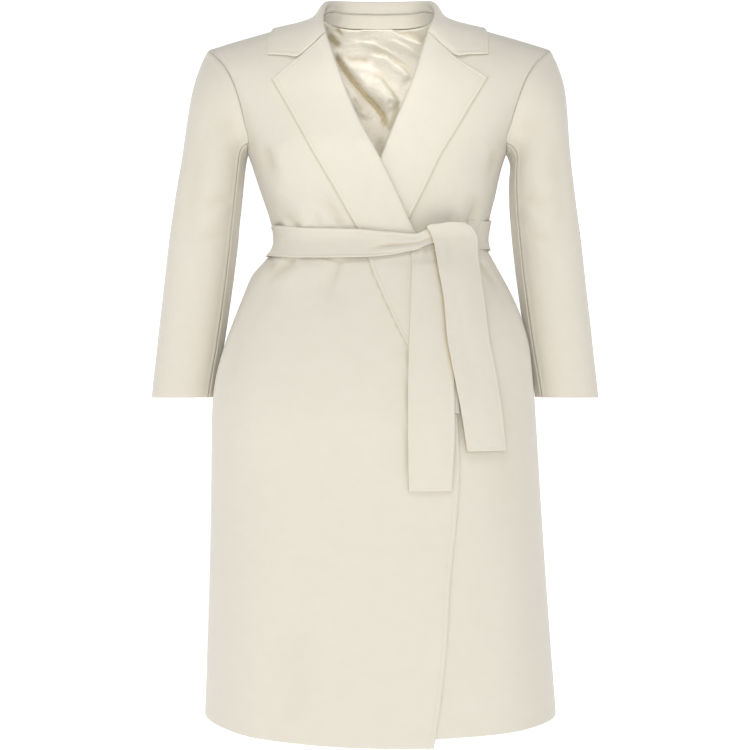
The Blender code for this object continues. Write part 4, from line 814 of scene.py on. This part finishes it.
def stitch_tree():
    """Stitches laid end to end along every line of a mesh, each a little longer or shorter."""
    tree = bpy.data.node_groups.new("stitches along lines", "GeometryNodeTree")
    add = tree.interface.new_socket
    add(name="Lines", in_out="INPUT", socket_type="NodeSocketGeometry")
    for name in ("Pitch", "Length", "Thickness", "Uneven"):
        add(name=name, in_out="INPUT", socket_type="NodeSocketFloat")
    add(name="Seed", in_out="INPUT", socket_type="NodeSocketInt")
    add(name="Thread", in_out="INPUT", socket_type="NodeSocketMaterial")
    add(name="Stitches", in_out="OUTPUT", socket_type="NodeSocketGeometry")
    given, made = node(tree, "NodeGroupInput"), node(tree, "NodeGroupOutput")
    link = tree.links.new

    curve = node(tree, "GeometryNodeMeshToCurve")
    points = node(tree, "GeometryNodeCurveToPoints", mode="LENGTH")
    link(given.outputs["Lines"], curve.inputs[0])
    link(curve.outputs[0], points.inputs["Curve"])
    link(given.outputs["Pitch"], points.inputs["Length"])

    spread = node(tree, "FunctionNodeRandomValue", data_type="FLOAT")
    link(math_node(tree, "SUBTRACT", 1.0, given.outputs["Uneven"]), spread.inputs[2])
    link(math_node(tree, "ADD", 1.0, given.outputs["Uneven"]), spread.inputs[3])
    link(given.outputs["Seed"], spread.inputs["Seed"])
    size = node(tree, "ShaderNodeCombineXYZ")
    for axis in ("X", "Y"):
        link(given.outputs["Thickness"], size.inputs[axis])
    link(math_node(tree, "MULTIPLY", given.outputs["Length"], spread.outputs[1]), size.inputs["Z"])

    bead = node(tree, "GeometryNodeMeshUVSphere")
    fill(bead, {"Segments": 5, "Rings": 4, "Radius": 0.5})
    placed = node(tree, "GeometryNodeInstanceOnPoints")
    link(points.outputs["Points"], placed.inputs["Points"])
    link(bead.outputs["Mesh"], placed.inputs["Instance"])
    link(points.outputs["Rotation"], placed.inputs["Rotation"])
    link(size.outputs[0], placed.inputs["Scale"])
    real = node(tree, "GeometryNodeRealizeInstances")
    dressed = node(tree, "GeometryNodeSetMaterial")
    link(placed.outputs[0], real.inputs[0])
    link(real.outputs[0], dressed.inputs["Geometry"])
    link(given.outputs["Thread"], dressed.inputs["Material"])
    link(dressed.outputs[0], made.inputs[0])
    return tree


stitching = stitch_tree()


def nearest(places, place):
    """Which of the places lies closest."""
    return int(np.argmin(np.abs(places - place)))


def stitch_lines(wall, sides, finished):
    """A line a set way inside each named side; it stops where another finished side begins."""
    across, down = wall.across, wall.down
    columns = (nearest(across, STITCH_IN), nearest(across, across[-1] - STITCH_IN))
    rows = (nearest(down, STITCH_IN), nearest(down, down[-1] - STITCH_IN))
    low = slice(rows[0] if "top" in finished else 0,
                rows[1] + 1 if "foot" in finished else len(down))
    wide = slice(columns[0] if "start" in finished else 0,
                 columns[1] + 1 if "end" in finished else len(across))
    lines = {"start": wall.face[low, columns[0]], "end": wall.face[low, columns[1]],
             "top": wall.face[rows[0], wide], "foot": wall.face[rows[1], wide]}
    return [lines[side] for side in sides]


def sew(name, lines):
    """One piece of stitches along the lines."""
    ends = np.cumsum([0] + [len(line) for line in lines])
    edges = [(k, k + 1) for start, stop in zip(ends, ends[1:]) for k in range(start, stop - 1)]
    mesh = bpy.data.meshes.new(name)
    mesh.from_pydata(np.concatenate(lines).tolist(), edges, [])
    line = put(name + "_lines", mesh)
    work = line.modifiers.new("stitches", "NODES")
    work.node_group = stitching
    for socket in stitching.interface.items_tree:
        if socket.in_out == "INPUT" and socket.name != "Lines":
            work[socket.identifier] = thread if socket.name == "Thread" else STITCH_SIZES[socket.name]
    finished = line.evaluated_get(bpy.context.evaluated_depsgraph_get())
    stitched = bpy.data.meshes.new_from_object(finished)
    bpy.data.objects.remove(line)
    stitched.shade_smooth()
    piece = put(name, stitched)
    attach(piece, "root")


# -------- the pieces
walls = {}


def panel(name, corner, along, spacing, finished=(), sewn=(), stitched=None, folds=None, under=(),
          inside_shows=False, material=wool):
    """One piece of the coat: its wall refined, folded, closed, dressed and stitched.

    Its finished edges are stitched, unless other edges are named for that. Shadow is painted on it
    beside the edges listed in under.
    """
    stitched = finished if stitched is None else stitched
    wall = refined(wall_of(name, corner, along, inside_shows), spacing)
    walls[name] = wall
    if folds:
        folds(wall)
    shaded_under(wall, under)
    piece = shell("cloth_" + name, wall, finished, sewn)
    piece.data.materials.append(material)
    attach(piece, "root")
    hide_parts(name)
    if stitched:
        sew("stitches_" + name, stitch_lines(wall, stitched, finished))


front_folds, back_folds = torso_folds(FRONT_CREASES), torso_folds(BACK_CREASES)
panel("belt_end_short", (-1, 0, 1), (1, 0, 0), 0.0030, finished=("foot", "start", "end"),
      folds=short_end_folds)
panel("belt_end_long", (-1, 0, 1), (1, 0, 0), 0.0030, finished=("foot", "start", "end"),
      folds=long_end_folds,
      under=[("belt_end_short", "start", 1.0, 0.0030)])
panel("belt_waist", (1, -1, 1), (0, 0, -1), 0.0030, finished=("start", "end"), stitched=(),
      folds=band_folds,
      under=[("belt_end_short", "start", 0.8, 0.0022), ("belt_end_short", "end", 0.4, 0.0024)])
panel("belt_knot", (-1, 0, 1), (1, 0, 0), 0.0026, folds=knot_folds)
panel("collar", (-0.1, 1, 1), (-1, 0.5, 0.5), 0.0030, finished=("foot", "start", "end"),
      sewn=("top",), stitched=("foot", "start", "end", "top"), folds=collar_folds)
for side, x in (("right", -1), ("left", 1)):
    panel("lapel_" + side, (0, 0, 1), (-x, 0, 1), 0.0032, finished=("end", "top"),
          folds=front_folds)
    panel("front_" + side, (x, 0, 1), (-x, 0, 0), 0.0036, finished=("end",),
          sewn=("start", "top"), folds=front_folds,
          under=[("lapel_" + side, "end", 0.55, 0.0016), ("belt_end_long", "start", 0.6, 0.0022),
                 ("belt_end_short", "start", 0.5, 0.0022), ("belt_waist", "end", 0.35, 0.0016),
                 ("belt_end_short", "foot", 0.4, 0.0016), ("belt_end_long", "foot", 0.4, 0.0016)])
    panel("sleeve_top_" + side, (0, -1, 1), (0, 0, 1), 0.0040,
          sewn=("top", "start", "end"), folds=cloth_folds(SLEEVE_CREASES))
    panel("sleeve_under_" + side, (0, 1, 1), (0, -1, 0), 0.0045,
          sewn=("top", "start", "end"), folds=cloth_folds(UNDER_SLEEVE_CREASES))
panel("back", (-1, 0, 1), (1, 0, 0), 0.0044, sewn=("start", "end", "top"),
      folds=back_folds)
panel("collar_stand", (-1, 0, 1), (1, 0, 0), 0.0030, sewn=("top",), inside_shows=True)
panel("back_lining", (-1, 0, 1), (1, 0, 0), 0.0026, sewn=("top",), material=satin,
      folds=lining_folds)


# -------- stage, light and camera
FLOOR_Z, FLOOR_NEAR, FLOOR_HALF = -1.45, -4.0, 6.0  # its height, nearest y and half width
SWEEP_Y, SWEEP_SIZE = 3.2, 1.2      # where the floor starts to sweep up, and how wide the sweep is
SWEEP_STEPS, BACKDROP_TOP = 12, 3.2
# Name, place, the point it faces, width and height, power.
SOFT_LIGHTS = (
    ("front", (-0.05, -3.0, -0.38), (0.0, 0.0, -0.44), (0.7, 0.9), 34.5),
    ("top", (-0.2, -1.8, 1.5), (0.0, 0.0, -0.3), (1.6, 0.9), 16),
    ("side_left", (-2.9, 0.3, -0.1), (0.0, 0.0, -0.5), (1.2, 1.6), 16),
    ("side_right", (2.9, 0.3, -0.2), (0.0, 0.0, -0.5), (1.2, 1.6), 12),
    ("rear_left", (-0.9, 2.9, 0.2), (0.0, 0.0, -0.5), (1.2, 1.6), 13),
    ("rear_right", (1.2, 2.8, 0.0), (0.0, 0.0, -0.5), (1.2, 1.6), 10),
)
NECK = (0.0, 0.1, -0.045)           # the spot of light inside the collar falls here
EYE = Vector((-0.0063, -2.4, -0.501))
LENS = 82.29


def stage():
    """A pale floor that sweeps up into a backdrop behind the coat."""
    profile = [(FLOOR_NEAR, FLOOR_Z), (SWEEP_Y, FLOOR_Z)]
    for step in range(1, SWEEP_STEPS + 1):
        turn = math.radians(step * 90 / SWEEP_STEPS)
        profile.append((SWEEP_Y + SWEEP_SIZE * math.sin(turn),
                        FLOOR_Z + SWEEP_SIZE * (1 - math.cos(turn))))
    profile.append((SWEEP_Y + SWEEP_SIZE, BACKDROP_TOP))
    verts = [(x, y, z) for x in (-FLOOR_HALF, FLOOR_HALF) for y, z in profile]
    count = len(profile)
    faces = [(k, k + count, k + count + 1, k + 1) for k in range(count - 1)]
    mesh = bpy.data.meshes.new("floor")
    mesh.from_pydata(verts, [], faces)
    mesh.shade_smooth()
    floor = put("floor", mesh)
    paper, _, shader = new_material("white_paper")
    fill(shader, {"Base Color": (0.93, 0.93, 0.93, 1.0), "Roughness": 0.95,
                  "Emission Color": (1.0, 1.0, 1.0, 1.0), "Emission Strength": 0.50})
    mesh.materials.append(paper)


def soft_light(name, place, target, size, power):
    """A broad lamp turned to a point; the camera doesn't see the lamp itself."""
    data = bpy.data.lights.new(name, "AREA")
    data.shape = "RECTANGLE"
    data.size, data.size_y = size
    data.energy = power
    lamp = put(name, data)
    lamp.location = place
    lamp.rotation_euler = (Vector(target) - Vector(place)).to_track_quat("-Z", "Y").to_euler()
    lamp.visible_camera = False


stage()
for light in SOFT_LIGHTS:
    soft_light(*light)
beam = bpy.data.lights.new("neck", "SPOT")
beam.energy, beam.spot_size, beam.spot_blend, beam.shadow_soft_size = 160, 0.115, 1.0, 0.12
neck_light = put("neck", beam)
neck_light.location = (0.0, -2.7, -0.25)
neck_light.rotation_euler = (Vector(NECK) - neck_light.location).to_track_quat("-Z", "Y").to_euler()

world = bpy.data.worlds.new("studio")
world.use_nodes = True
fill(world.node_tree.nodes["Background"], {"Color": (1.0, 1.0, 1.0, 1.0), "Strength": 0.34})
bpy.context.scene.world = world
bpy.context.scene.view_settings.view_transform = "Standard"

lens = bpy.data.cameras.new("camera")
lens.lens = LENS
lens.sensor_width = 36.0
camera = put("camera", lens)
camera.location = EYE
camera.rotation_euler = (math.radians(90), 0, 0)
bpy.context.scene.camera = camera
